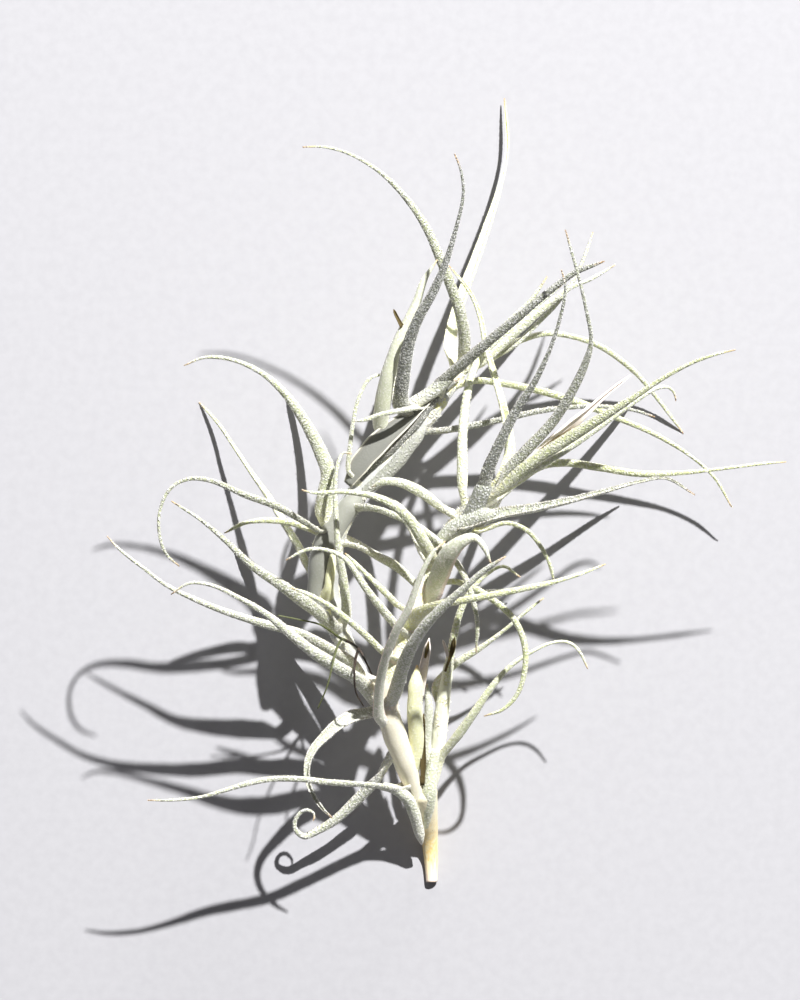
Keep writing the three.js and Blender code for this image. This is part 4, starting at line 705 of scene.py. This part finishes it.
def clasping_blade(points, facing, stalk, draw):
    """The same for a leaf whose base wraps its stalk, with distances run from where it leaves the stalk."""
    places, widths, run = smooth_route(points, RING_SPACING)
    radius, half, thickness = blade_shape(widths, run, draw)
    stalk_places, stalk_widths, stalk_run = stalk
    nearest = stalk_run[np.argmin(np.linalg.norm(stalk_places - places[0], axis=1))]
    below = np.arange(-min(CLASP_BELOW, nearest), -0.5 * RING_SPACING, RING_SPACING)
    run = np.concatenate([below, run])
    at = nearest + run
    round_stalk = np.stack([np.interp(at, stalk_run, stalk_places[:, k]) for k in range(3)], 1)
    stalk_radius = np.interp(at, stalk_run, stalk_widths) / 2
    hidden = len(below)
    places = np.concatenate([round_stalk[:hidden], places])
    opened = smooth_step(run / CLASP_ABOVE)
    path = round_stalk + (places - round_stalk) * opened[:, None]

    headings, sides, across = axes_along(path, np.array(facing, float))
    away = places[hidden + CLASP_SIGHT] - round_stalk[hidden]
    inward = unit(headings[hidden] * np.dot(away, headings[hidden]) - away)
    sine = np.dot(np.cross(sides[hidden], inward), headings[hidden])
    turned = math.atan2(sine, np.dot(sides[hidden], inward)) * (1 - smooth_step(run / CLASP_TWIST))
    turned = turned[:, None]
    sides = sides * np.cos(turned) + np.cross(headings, sides) * np.sin(turned)
    across = np.cross(sides, headings)

    start = [np.full(hidden, values[0]) for values in (radius, half, thickness)]
    radius, half, thickness = (np.concatenate(both) for both in zip(start, (radius, half, thickness)))
    snug, loose = CLASP_FIT
    clasp = stalk_radius * np.interp(run, [-CLASP_BELOW, 0], [snug, loose + CLASP_SLACK * draw.random()])
    wrap = np.radians(np.interp(run, [-CLASP_BELOW, 0, CLASP_ABOVE], CLASP_WRAP))
    lift = (lift_of(radius, half) * opened)[:, None]
    radius = clasp + (radius - clasp) * opened
    half = wrap + (half - wrap) * opened
    thickness = CLASP_THICKNESS + (thickness - CLASP_THICKNESS) * opened
    rings, edge = gutter(path + sides * lift, sides, across, radius, half, thickness)
    widths = np.concatenate([np.full(hidden, widths[0]), widths])
    rings = rings + (as_wide_as_seen(rings, path, widths) - rings) * opened[:, None, None]
    return rings, run, edge


def scaled_leaf_skin():
    """Matt grey-green leaf skin under overlapping silver scales, yellower in young tissue, rusty at the tip.

    The pattern is coarser than the real scales, which are 0.25 mm wide: its patches are about 0.6 mm wide.
    """
    material, add, surface = new_material("scaled_leaf_skin")
    place = place_in_mm(add)
    scales = add("TexVoronoi", {"Vector": place, "Scale": 1.7})
    fine = add("TexNoise", {"Vector": place, "Scale": 1.5, "Detail": 4.0, "Roughness": 0.7})
    broad = add("TexNoise", {"Vector": place, "Scale": 0.22, "Detail": 3.0})
    names = ("silver_and_shade", "green", "pink", "smooth", "dull_and_shade", "along", "edge", "from_root")
    marks = (add("Attribute", give="Fac", attribute_name=name) for name in names)
    silver_and_shade, green, pink, smooth, dull_and_shade, along, edge, from_root = marks

    skin = add("Mix", [add("MapRange", [broad, 0.35, 0.65]), "#BDC2A2", "#D0D4B6"])
    skin = add("Mix", [green, skin, "#D3DB97"])
    # Silver darkens the skin between the scales. On leaves that lie in shade this is partly painted shade.
    skin = add("Mix", [add("MapRange", [silver_and_shade, 0.2, 1, 0, 0.95]), skin, "#5C5E5C"])
    young = add("Mix", [green, "#EFECDC", "#F1EBA4"])
    base = [add("MapRange", [from_root, YOUNG_FROM, YOUNG_TO, 0.8, 0]), add("MapRange", [dull_and_shade, 0, 0.9, 1, 0])]
    skin = add("Mix", [add("Math", base), skin, young])

    cover = [add("MapRange", [scales, 0.3, 0.62, 1, 0.05]), add("MapRange", [fine, 0.4, 0.52, 0.25, 1])]
    cover = add("Math", cover)
    scaly = add("Mix", [green, "#F4F2E8", "#F5F6DC"])
    scaly = add("Mix", [silver_and_shade, scaly, "#F1F1F0"])
    shade = add("Mix", [cover, skin, scaly])
    even = add("Mix", [0.45, skin, scaly])
    shade = add("Mix", [add("Math", [smooth, 0.7]), shade, even])
    # Painted shade: the dull mark greys a bare face inside the margins, partly its own colour, partly shade.
    bare = add("Math", [dull_and_shade, add("MapRange", [edge, 0.9, 0.96, 1, 0])])
    shade = add("Mix", [bare, shade, "#70706B"])
    flush = add("Math", [add("MapRange", [edge, 0.72, 0.98]), pink])
    shade = add("Mix", [flush, shade, "#F3D6C8"])
    dry = [add("MapRange", [along, 0.95, 1.0]), add("MapRange", [fine, 0.2, 0.5])]
    shade = add("Mix", [add("Math", dry), shade, "#C9A273"])

    relief = [add("MapRange", [smooth, 0, 1, 1, 0.2]), add("MapRange", [silver_and_shade, 0.2, 0.8, 0.4, 1])]
    relief = add("Math", relief)
    bump = add("Bump", {"Strength": relief, "Distance": 0.0008, "Height": cover})
    rough = add("MapRange", [cover, 0, 1, 0.62, 0.86])
    fill(surface, {"Base Color": shade, "Normal": bump, "Roughness": rough, "IOR": 1.4})
    fill(surface, {"Sheen Weight": 0.25, "Sheen Roughness": 0.5})
    return material


def stalk_line(points):
    """A stem's places, widths and distances run, with a straight stretch added past its tip."""
    places, widths, run = smooth_route(points, RING_SPACING)
    onward = unit(places[-1] - places[-2]) * CLASP_TWIST
    places = np.vstack([places, places[-1] + onward])
    return places, np.append(widths, widths[-1]), np.append(run, run[-1] + CLASP_TWIST)


leaf_skin = scaled_leaf_skin()
leaves_of = {"main": MAIN_LEAVES, "left": LEFT_LEAVES, "right": RIGHT_LEAVES}
blades = {}
for shoot, leaves in leaves_of.items():
    route, solid, slot, _ = shoots[shoot]
    stalk = stalk_line(route)
    shape = Shape()
    blades[shoot] = []
    for index, (name, points) in enumerate(leaves.items()):
        facing = CHANNEL_FACES.get(name, SHOOT_AXIS)
        if name in FREE_LEAVES:
            rings, run, edge = blade(points, facing, seeded)
        else:
            rings, run, edge = clasping_blade(points, facing, stalk, seeded)
        strip = strip_of(index, len(leaves))
        around = np.ones(rings.shape[1])
        along = np.outer(np.maximum(run, 0) / run[-1], around)
        from_root = np.outer(run * (1 - YOUNG_LENGTH.get(name, 0.0)), around)
        marks = {"along": along, "from_root": from_root, "edge": edge, **PLAIN_LEAF, **TINTS.get(name, {})}
        shape.add_rings(rings, strip, **marks)
        blades[shoot].append((rings, strip, marks))
    stands_for(shape.build(shoot + "_leaves", leaf_skin), solid)


# Scales on the leaves.
# Each is a hollow hair like a tiny shield, about 0.6 mm long, that leans towards the leaf tip. They
# cover the blades all over and give them their silver fuzz. About one in three is drawn.
SCALES_PER_MM2 = 2.2
SCALE_LENGTH = 0.6
SCALE_WIDTH = 0.3
SCALE_ROOT = 0.06

# Degrees by which they lean out from the skin, how far they stray sideways, and how their sizes vary.
LEAN = (30, 80)
STRAY = 0.45
LENGTHS = (0.5, 1.3)
WIDTHS = (0.7, 1.2)

# Shares of scales on the sheath, inside the channel and lost on smooth skin.
SCALES_ON_SHEATH = 0.45
SCALES_INSIDE = 0.6
SCALES_LOST = 0.8

# Scales are longer at the margins, and shorter on blades that are narrower than this girth in mm.
LONGER_AT_EDGE = 0.5
FULL_GIRTH = 3.5
SHORTEST = 0.4

# The share of a quad's patch of the flat map that one scale takes, and its first place in it.
PATCH = (0.2, 0.1)
PATCH_SPREAD = 0.8
PATCH_START = 0.1


def scales_on(rings, strip, marks, draw):
    """Small leaning pyramids over a blade, most of them at its margins, with the marks of where they grow."""
    count, around = rings.shape[:2]
    corner = rings[:-1], np.roll(rings, -1, 1)[:-1], rings[1:], np.roll(rings, -1, 1)[1:]
    side, ahead = corner[1] - corner[0], corner[2] - corner[0]
    area = np.linalg.norm(np.cross(side, ahead), axis=-1)
    outside = np.where(np.arange(around) < around // 2, 1.0, SCALES_INSIDE)
    bare = SCALES_ON_SHEATH + (1 - SCALES_ON_SHEATH) * np.clip(marks["from_root"][:-1] / CLASP_ABOVE, 0, 1)
    weight = (area * outside * bare * (1 + marks["edge"][:-1] ** 4)).ravel()
    wanted = int(area.sum() * (SCALES_PER_MM2 * (1 - SCALES_LOST * marks["smooth"])))
    quad = draw.choice(len(weight), wanted, p=weight / weight.sum())
    s, t = draw.random((2, wanted, 1))
    a, b, c, d = (p.reshape(-1, 3)[quad] for p in corner)
    root = (a * (1 - s) + b * s) * (1 - t) + (c * (1 - s) + d * s) * t

    ahead, side = unit(ahead.reshape(-1, 3)[quad]), unit(side.reshape(-1, 3)[quad])
    out = unit(np.cross(ahead, side))
    heading = unit(ahead + side * draw.normal(0, STRAY, (wanted, 1)))
    lean = np.radians(draw.uniform(*LEAN, (wanted, 1)))
    at_edge = marks["edge"][:-1].ravel()[quad][:, None] ** 4
    girth = np.linalg.norm(np.ptp(rings, axis=1), axis=-1)[quad // around][:, None]
    length = SCALE_LENGTH * draw.uniform(*LENGTHS, (wanted, 1)) * (1 + LONGER_AT_EDGE * at_edge)
    length = length * np.clip(girth / FULL_GIRTH, SHORTEST, 1)
    wide = unit(np.cross(out, heading)) * SCALE_WIDTH * draw.uniform(*WIDTHS, (wanted, 1)) / 2
    low = root - out * SCALE_ROOT
    tip = root + (heading * np.cos(lean) + out * np.sin(lean)) * length
    points = np.stack([low - wide, low + wide, low + heading * SCALE_WIDTH, tip], 1)
    faces = np.array([[0, 1, 3], [1, 2, 3], [2, 0, 3], [0, 2, 1]])
    faces = (np.arange(wanted)[:, None, None] * 4 + faces).reshape(-1, 3)

    ring, point = np.divmod(quad, around)
    u = strip[0] + (strip[1] - strip[0]) * (point + s[:, 0] * PATCH_SPREAD + PATCH_START) / around
    v = (ring + t[:, 0] * PATCH_SPREAD + PATCH_START) / (count - 1)
    size = [(strip[1] - strip[0]) / around * PATCH[0], PATCH[1] / count]
    patch = np.array([[0, 0], [1, 0], [0.5, 1]]) * size
    places = np.stack([u, v], 1)[:, None, None] + patch * np.ones((1, 4, 1, 1))
    kept = {name: np.repeat(np.broadcast_to(m, rings.shape[:2])[ring, point], 4) for name, m in marks.items()}
    return points, faces, places.reshape(-1, 3, 2), kept


def silver_scale():
    """Dead, air-filled hair cells: matt white, greyer in 0.6 mm patches and yellower on young tissue."""
    material, add, surface = new_material("silver_scale")
    fine = add("TexNoise", {"Vector": place_in_mm(add), "Scale": 1.6, "Detail": 1.0})
    names = ("green", "pink", "along")
    green, pink, along = (add("Attribute", give="Fac", attribute_name=name) for name in names)
    shade = add("Mix", [add("MapRange", [fine, 0.35, 0.65]), "#EDEDE8", "#FCFCF8"])
    shade = add("Mix", [add("MapRange", [green, 0, 1, 0, 0.55]), shade, "#E2E6A8"])
    shade = add("Mix", [add("Math", [pink, 0.35]), shade, "#E9CDBF"])
    shade = add("Mix", [add("MapRange", [along, 0.96, 1.0]), shade, "#D6B183"])
    rough = add("MapRange", [fine, 0.3, 0.7, 0.7, 0.9])
    fill(surface, {"Base Color": shade, "Roughness": rough, "IOR": 1.4, "Sheen Weight": 0.2})
    fill(surface, {"Subsurface Weight": 0.6, "Subsurface Scale": SCALE_LENGTH * MM})
    fill(surface, {"Subsurface Radius": (1.0, 1.0, 1.0)})
    return material


scale_finish = silver_scale()
for shoot, (_, solid, slot, _) in shoots.items():
    shape = Shape()
    for rings, strip, marks in blades[shoot]:
        points, faces, places, kept = scales_on(rings, strip, marks, seeded)
        shape.add(points, faces, places, **kept)
    stands_for(shape.build(shoot + "_leaf_scales", scale_finish, smooth=False), solid)


# Old stem.
# The oldest part of the stem, 27 mm long, dried to a papery ochre bark round a hollow pith. It was
# cut across at its lower end, which is brown inside.
OLD_STEM = [
    [-3.5, -98.5, 0.9, 2.8], [-3.75, -92.5, 1.3, 3.5], [-4.1, -87, 4, 4.2], [-4.75, -81.5, 9, 5.4],
    [-5.7, -75.9, 14.2, 7.2],
]
BARK_SPACING = 0.4
BARK_STEP = 0.015

# The hollow: its size against the cut end, its depth in mm, the rings of its floor as shares of both,
# the waves of its torn lip and how brown the lip is.
PITH_SHARE = 0.62
PITH_DEPTH = 1.4
PITH_FLOOR = [(0.55, 1.0), (0.85, 0.9)]
LIP_WAVE = (0.05, 2.4)
LIP_BROWN = 0.7

# How far past the fork each ring of its rounded top lies, in mm, and its size against the last full ring.
FORK_DOME = [(0.5, 0.98), (1.0, 0.93), (1.5, 0.84), (1.9, 0.7), (2.2, 0.45)]


def dry_bark():
    """Papery dead sheath over wood: ochre in the middle, cream at the cut end and pale where it turns green.

    Its grain is 0.45 mm wide across the stem and 3.6 mm long along it.
    """
    material, add, surface = new_material("dry_bark")
    place = place_in_mm(add)
    stretched = add("Mapping", {"Vector": place, "Scale": (2.2, 0.28, 2.2)})
    grain = add("TexNoise", {"Vector": stretched, "Scale": 1.0, "Detail": 4.0})
    fine = add("TexNoise", {"Vector": place, "Scale": 2.0, "Detail": 3.0})
    along, inside = (add("Attribute", give="Fac", attribute_name=name) for name in ("along", "inside"))
    shade = add("Mix", [add("MapRange", [grain, 0.35, 0.65]), "#FBDB8C", "#FFF0C4"])
    shade = add("Mix", [add("MapRange", [along, 0.0, 0.2, 1, 0]), shade, "#F6E2CF"])
    shade = add("Mix", [add("MapRange", [along, 0.42, 0.8]), shade, "#FBF1CE"])
    shade = add("Mix", [add("MapRange", [fine, 0.66, 0.72, 0, 0.6]), shade, "#8A5A34"])
    shade = add("Mix", [inside, shade, "#4A2C1A"])
    bump = add("Bump", {"Strength": 0.5, "Distance": 0.0002, "Height": grain})
    rough = add("MapRange", [fine, 0.3, 0.7, 0.42, 0.62])
    fill(surface, {"Base Color": shade, "Normal": bump, "Roughness": rough, "IOR": 1.45})
    return material


rings, share = stem(OLD_STEM, BARK_SPACING, BARK_STEP, seeded)
centre = rings[0].mean(0)
inward = (rings[1] - rings[0]).mean(0)
inward = inward / np.linalg.norm(inward) * PITH_DEPTH
ragged = 1 + LIP_WAVE[0] * np.sin(np.arange(STEM_SIDES) * LIP_WAVE[1])[:, None]
lip = centre + (rings[0] - centre) * PITH_SHARE * ragged
pith = [centre + (rings[0] - centre) * PITH_SHARE * size + inward * depth for size, depth in PITH_FLOOR]
crown = rings[-1].mean(0)
onward = unit(crown - rings[-4].mean(0))
dome = [crown + (rings[-1] - crown) * size + onward * rise for rise, size in FORK_DOME]
rings = np.concatenate([[*pith, lip], rings, dome])
rings[:, :, 2] = np.maximum(rings[:, :, 2], 0.0)
around = np.ones(STEM_SIDES)
along = np.outer(np.r_[0, 0, 0, share, np.ones(len(dome))], around)
inside = np.outer(np.r_[1, 1, LIP_BROWN, np.zeros(len(share) + len(dome))], around)
shape = Shape()
shape.add_rings(rings, along=along, inside=inside)
stands_for(shape.build("old_stem_bark", dry_bark()), "old_stem")


# Dry flower spike.
# What is left of last year's flowers: a flattened spike of papery bracts, about 35 mm long, bleached
# almost white, with a brown rotted margin. It is caught between two leaves of the right rosette.
SPIKE = [
    [19.8, 6.3, 58.8, 1], [22.6, 9.8, 59, 1.2], [25.7, 12.5, 59.3, 1.6], [29, 14.7, 60.2, 2.5],
    [31.6, 16.9, 60.6, 2.8], [34.9, 19.6, 61.1, 2.2], [40.4, 24.4, 61.6, 1.1], [45.9, 28.6, 61.6, 0.8],
]
SPIKE_FACES = (0.6, -0.6, 1.0)

# Rot covers its left side beyond this share of the half width, for so many mm, and fades over as many more.
ROT_SIDE = 0.35
ROT_FADES = 12


def dry_bract():
    """Dead papery bract: thin, pale pinkish cream and brown where it has rotted.

    Its veins are 0.2 mm apart. They are drawn as coarser patches, 0.7 mm wide.
    """
    material, add, surface = new_material("dry_bract")
    fine = add("TexNoise", {"Vector": place_in_mm(add), "Scale": 1.4, "Detail": 4.0})
    shade = add("Mix", [add("MapRange", [fine, 0.35, 0.65]), "#E9DCD3", "#F6EFEA"])
    shade = add("Mix", [add("Attribute", give="Fac", attribute_name="dark"), shade, "#5F5230"])
    bump = add("Bump", {"Strength": 0.6, "Distance": 0.0002, "Height": fine})
    rough = add("MapRange", [fine, 0.3, 0.7, 0.7, 0.9])
    fill(surface, {"Base Color": shade, "Normal": bump, "Roughness": rough, "IOR": 1.45})
    return material


bract_paper = dry_bract()
rings, run, _ = blade(SPIKE, SPIKE_FACES, seeded)
left_side = np.linspace(1, -1, SECTION_POINTS) > ROT_SIDE
rot = np.outer(1 - smooth_step((run - ROT_FADES) / ROT_FADES), np.concatenate([left_side, left_side[::-1]]))
shape = Shape()
shape.add_rings(rings, dark=rot)
stands_for(shape.build("dry_flower_spike", bract_paper), "flower_spike")


# Outer sheaths.
# Bases of old leaves that have lost their blades. They are drawn tight round the stems, smooth, tough
# and grown together with what they wrap.
AWAY = (0.0, 0.0, -1.0)
OUTER_SHEATHS = {
    "main": {
        "lower_stem": [
            [-15, -52.5, 33.2, 4.6], [-13.9, -57.5, 30.8, 6], [-12.2, -63, 26.4, 6.3],
            [-10.3, -67.8, 22.7, 5.8], [-8.8, -71.6, 19.6, 4.9], [-7.6, -75, 17, 4.2],
            [-6.9, -78.6, 14.4, 3.6], [-6.2, -82, 10.4, 2.4], [-5.6, -85, 6.5, 1]],
        "low_leaf_base": [
            [-16, -74.4, 24.7, 2.2], [-12.5, -75.4, 21.3, 2.8], [-9.8, -77.4, 18.4, 3.2],
            [-8, -80.8, 14.6, 3.4], [-6.9, -84.8, 10.6, 3], [-6, -89, 7, 1.6]],
        "silver_leaf_base": [
            [3.8, -11.6, 48, 3], [5.4, -8.2, 50.6, 4.6], [7.2, -4.4, 53, 4.8], [8.8, -0.8, 54.8, 4.4],
            [10, 2.8, 56.2, 3]],
        "low_right_leaf_base": [
            [-3.8, -15.8, 45.2, 2.4], [-0.6, -11.6, 48.6, 3.8], [3.4, -8.8, 51.4, 4.2],
            [7.6, -6.9, 53.6, 4], [12.4, -5.6, 55.4, 3.2]],
    },
    "left": {
        "grey_band": [
            [-33.2, -29.5, 32.5, 3.6], [-32.4, -24, 34.8, 5], [-31.4, -18.5, 36.9, 6],
            [-29.7, -12.8, 38.6, 6.5], [-26.9, -8, 39.7, 6], [-23.8, -3.8, 40.3, 5],
            [-21.2, -0.4, 40.6, 3.6]],
        "speckled_wall": [
            [-23.6, -3, 39.8, 2.8], [-20.2, 0.2, 40.6, 3.6], [-16.2, 3.2, 41, 4.2], [-11.9, 7.6, 41.2, 4.2],
            [-8.2, 12.1, 41.2, 3.4], [-5, 15.8, 40.6, 2]],
        "grey_channel": [
            [-24.4, 1.4, 41, 2.6], [-21.4, 6.2, 43.2, 5.4], [-17.6, 10.6, 44.5, 6],
            [-13.4, 14.6, 45.1, 5.4], [-8.9, 18.2, 44.6, 3.6], [-5, 21.6, 43.6, 1.8],
            [-1.5, 24.4, 42.4, 0.8]],
        "top_leaf_base": [
            [1, 28.2, 48, 2.8], [-2.2, 25.4, 46, 3.6], [-5.2, 23.4, 45.2, 3.6], [-8.2, 21.6, 44.4, 3.2],
            [-11.2, 19.8, 43.4, 2]],
    },
    "right": {
        "green_foot": [
            [-2.6, -65, 20.6, 2.6], [-3.3, -69, 19.4, 3.2], [-4, -73, 18.2, 3.8], [-4.4, -76.5, 16.5, 4.4],
            [-4.7, -79.5, 13.5, 4.2], [-4.8, -83, 9.7, 3], [-4.7, -86.5, 5.5, 1.6]],
    },
}

# How each differs from a plain smooth sheath. The bases of rosette leaves are past their young tissue.
PLAIN_SHEATH = {"silver_and_shade": 0.3, "green": 0.0, "pink": 0.1, "smooth": 1.0, "dull_and_shade": 0.0, "along": 0.5}
SHEATH_TINTS = {
    "lower_stem": {"pink": 0.5, "green": 0.4, "edge": 0.82, "from_root": 0.0},
    "low_leaf_base": {"silver_and_shade": 0.3, "smooth": 0.2},
    "silver_leaf_base": {"silver_and_shade": 0.75, "smooth": 0.0, "from_root": 20.0},
    "low_right_leaf_base": {"silver_and_shade": 0.6, "smooth": 0.2, "from_root": 20.0},
    # On the left stem's grey sheaths the dull grey is mostly painted shade.
    "grey_band": {"dull_and_shade": 0.75},
    "speckled_wall": {"silver_and_shade": 0.6, "smooth": 0.4, "dull_and_shade": 0.5},
    "grey_channel": {"dull_and_shade": 0.9},
    "top_leaf_base": {"silver_and_shade": 0.6, "smooth": 0.1},
    "green_foot": {"green": 0.3, "smooth": 0.4},
}

# One sheath has opened, and shows its channel: the way that it faces, and how little it is rolled.
OPENED_SHEATHS = {"grey_channel": ((-0.3, 0.2, 0.95), 0.65)}
for shoot, sheaths in OUTER_SHEATHS.items():
    _, solid, slot, _ = shoots[shoot]
    shape = Shape()
    for index, (name, points) in enumerate(sheaths.items()):
        facing, openness = OPENED_SHEATHS.get(name, (AWAY, 1.0))
        rings, run, edge = blade(points, facing, seeded, openness)
        from_end = np.outer(run[-1] - run, np.ones(rings.shape[1]))
        marks = {**PLAIN_SHEATH, "edge": edge, "from_root": from_end, **SHEATH_TINTS[name]}
        shape.add_rings(rings, strip_of(index, len(sheaths)), **marks)
    stands_for(shape.build(shoot + "_outer_sheaths", leaf_skin), solid)


# Dried scraps.
# Torn ends of old sheaths and bracts, paper-thin and up to 20 mm long. Some are bleached, others have
# rotted to a dark brown, and all still hang where they grew.
SCRAPS = {
    "main": {
        "stem_strip": [
            [-5.9, -74, 18.5, 1.2], [-5.7, -68, 21.5, 1.6], [-5.7, -62, 24.3, 1.2], [-5.6, -56, 26.5, 0.7]],
    },
    "left": {
        "top_fleck": [
            [-10.9, 40.6, 60, 1.3], [-11.8, 42.2, 60.6, 1], [-12.6, 43.8, 61, 0.8], [-13.1, 45, 61.2, 0.6]],
    },
    "right": {
        "bent_sliver": [
            [-0.2, -45.4, 30.6, 0.6], [0.6, -43, 31.8, 0.7], [1.5, -40.5, 32.8, 1.3],
            [1.9, -38.6, 33.2, 1.4], [2.1, -36.8, 33.6, 0.6]],
        "pale_sliver": [
            [0.6, -41.8, 30.5, 0.9], [0, -39.8, 31.6, 0.9], [-0.8, -37.5, 32.6, 0.6]],
        "pale_sheath_end": [
            [-6.4, -52, 27.4, 1.8], [-6.1, -48, 28.8, 2.4], [-5.5, -44, 30.8, 2.6], [-4.8, -40.4, 33, 2],
            [-4.2, -37, 35, 0.6]],
        "dark_sliver": [
            [-5.2, -42, 32.4, 0.6], [-4.8, -40, 33.6, 0.9], [-4.4, -38, 34.6, 0.6]],
    },
}
ROTTED = {"stem_strip", "top_fleck", "bent_sliver", "dark_sliver"}
for shoot, torn in SCRAPS.items():
    _, solid, slot, _ = shoots[shoot]
    shape = Shape()
    for index, (name, points) in enumerate(torn.items()):
        rings, _, _ = blade(points, VIEWER, seeded)
        shape.add_rings(rings, strip_of(index, len(torn)), dark=float(name in ROTTED))
    stands_for(shape.build(shoot + "_dry_scraps", bract_paper), solid)


# Wiry roots.
# Thin dead roots, under 1 mm thick, that once held the clump to a branch. They are tough, dark brown
# to black, and two of them still show green.
ROOTS = {
    "arched": [
        [-25.2, -37.6, 30.6, 1], [-23.2, -38.6, 33.6, 1], [-21.6, -40, 36, 1], [-20, -43, 36.8, 1],
        [-18.6, -46, 35.6, 0.9]],
    "hanging": [
        [-21.8, -39.7, 35.7, 1], [-22.6, -42.2, 43, 1], [-22.9, -45.5, 46, 0.9], [-22.5, -50.5, 43, 0.9],
        [-20.6, -54, 40.5, 0.8]],
    "leftward": [
        [-25.2, -37.6, 30.6, 1], [-26.6, -36.9, 35.5, 0.9], [-31.5, -33.6, 42, 0.8],
        [-36.5, -32.4, 44, 0.8], [-42, -31.3, 45, 0.8]],
    "looped_down": [
        [-25.2, -37.6, 30.6, 1], [-26, -37.3, 39, 0.9], [-27, -38.8, 46, 0.9], [-28, -42, 50.4, 0.8],
        [-29.6, -48.75, 50.6, 0.8], [-32, -54.5, 48, 0.8]],
}
GREEN_ROOTS = {"leftward", "looped_down"}
ROOT_SPACING = 0.5
ROOT_SIDES = 10
ROOT_SHARE = 0.8
ROOT_TAPER = 0.45

# Wrinkles: their height as a share of the radius, radians turned in each mm, and how many go round.
WRINKLES = (0.08, 2.1, 2)


def root_skin():
    """Dead root bark: dry and dark, with fine wrinkles drawn 0.6 mm wide and a dull green core showing."""
    material, add, surface = new_material("root_skin")
    fine = add("TexNoise", {"Vector": place_in_mm(add), "Scale": 1.8, "Detail": 3.0})
    shade = add("Mix", [add("MapRange", [fine, 0.35, 0.65]), "#1E1713", "#40332A"])
    shade = add("Mix", [add("Attribute", give="Fac", attribute_name="green"), shade, "#565B38"])
    bump = add("Bump", {"Strength": 0.5, "Distance": 0.0002, "Height": fine})
    rough = add("MapRange", [fine, 0.3, 0.7, 0.5, 0.75])
    fill(surface, {"Base Color": shade, "Normal": bump, "Roughness": rough, "IOR": 1.45})
    return material


shape = Shape()
for index, (name, points) in enumerate(ROOTS.items()):
    places, widths, run = smooth_route(points, ROOT_SPACING)
    turn = np.arange(ROOT_SIDES) / ROOT_SIDES * 2 * math.pi
    taper = 1 - ROOT_TAPER * (run / run[-1])
    wrinkled = 1 + WRINKLES[0] * np.sin(run[:, None] * WRINKLES[1] + turn * WRINKLES[2])
    reach = widths[:, None] / 2 * ROOT_SHARE * taper[:, None] * wrinkled
    shape.add_rings(tube(places, reach), strip_of(index, len(ROOTS)), green=float(name in GREEN_ROOTS))
stands_for(shape.build("wiry_root_bundle", root_skin()), "wiry_roots")


# Floor.
# A plain pale sheet under the clump, far larger than the view. The tooth of its surface is drawn 2.5 mm
# wide, coarser than it is.
FLOOR_SIZE = 8.0
TOOTH = 0.0025


def pale_sheet():
    """Matt pale grey board with a faint cool cast and a slightly uneven tooth."""
    material, add, surface = new_material("pale_sheet")
    tooth = add("TexNoise", {"Vector": add("TexCoord", give="Object"), "Scale": 1 / TOOTH, "Detail": 2.0})
    shade = add("Mix", [add("MapRange", [tooth, 0.3, 0.7]), "#A2A1A4", "#A6A5A8"])
    fill(surface, {"Base Color": shade, "Roughness": 0.85})
    return material


mesh = bpy.data.meshes.new("floor")
half = FLOOR_SIZE / 2
mesh.from_pydata([(-half, -half, 0), (half, -half, 0), (half, half, 0), (-half, half, 0)], [], [(0, 1, 2, 3)])
mesh.materials.append(pale_sheet())
floor = place_in_scene("floor", mesh)


# Camera and light.
# A long lens straight above the clump. A small softbox high at the upper right casts the shadows, a wide
# weak one low beyond the leaf tips lights their edges, and an even fill lifts the rest.
VIEW_CENTRE = (-0.0115, -0.0025)
VIEW_HEIGHT = 0.25
FOCUS_HEIGHT = 0.036
CAMERA_HEIGHT = 6.0
SENSOR = 36.0
lens = bpy.data.cameras.new("camera")
lens.sensor_width = SENSOR
lens.lens = SENSOR * (CAMERA_HEIGHT - FOCUS_HEIGHT) / VIEW_HEIGHT
lens.clip_start = 0.1
lens.clip_end = 50.0
camera = place_in_scene("camera", lens)
camera.location = (*VIEW_CENTRE, CAMERA_HEIGHT)
bpy.context.scene.camera = camera

LIGHT_DISTANCE = 3.0
SOFTBOXES = {
    "key": {"towards": (0.272, 0.583, 0.766), "size": 0.07, "power": 229.0},
    "rim": {"towards": (0.34, 0.92, 0.18), "size": 0.45, "power": 35.0},
}
FILL = 0.17
for name, facts in SOFTBOXES.items():
    panel = bpy.data.lights.new(name, "AREA")
    panel.shape = "DISK"
    panel.size = facts["size"]
    panel.energy = facts["power"]
    softbox = place_in_scene(name, panel)
    softbox.location = unit(np.array(facts["towards"])) * LIGHT_DISTANCE
    softbox.rotation_mode = "QUATERNION"
    softbox.rotation_quaternion = softbox.location.to_track_quat("Z", "Y")
world = bpy.data.worlds.new("fill")
world.use_nodes = True
fill(world.node_tree.nodes["Background"], {"Color": "#F4F3FA", "Strength": FILL})
bpy.context.scene.world = world
bpy.context.scene.view_settings.view_transform = "Standard"
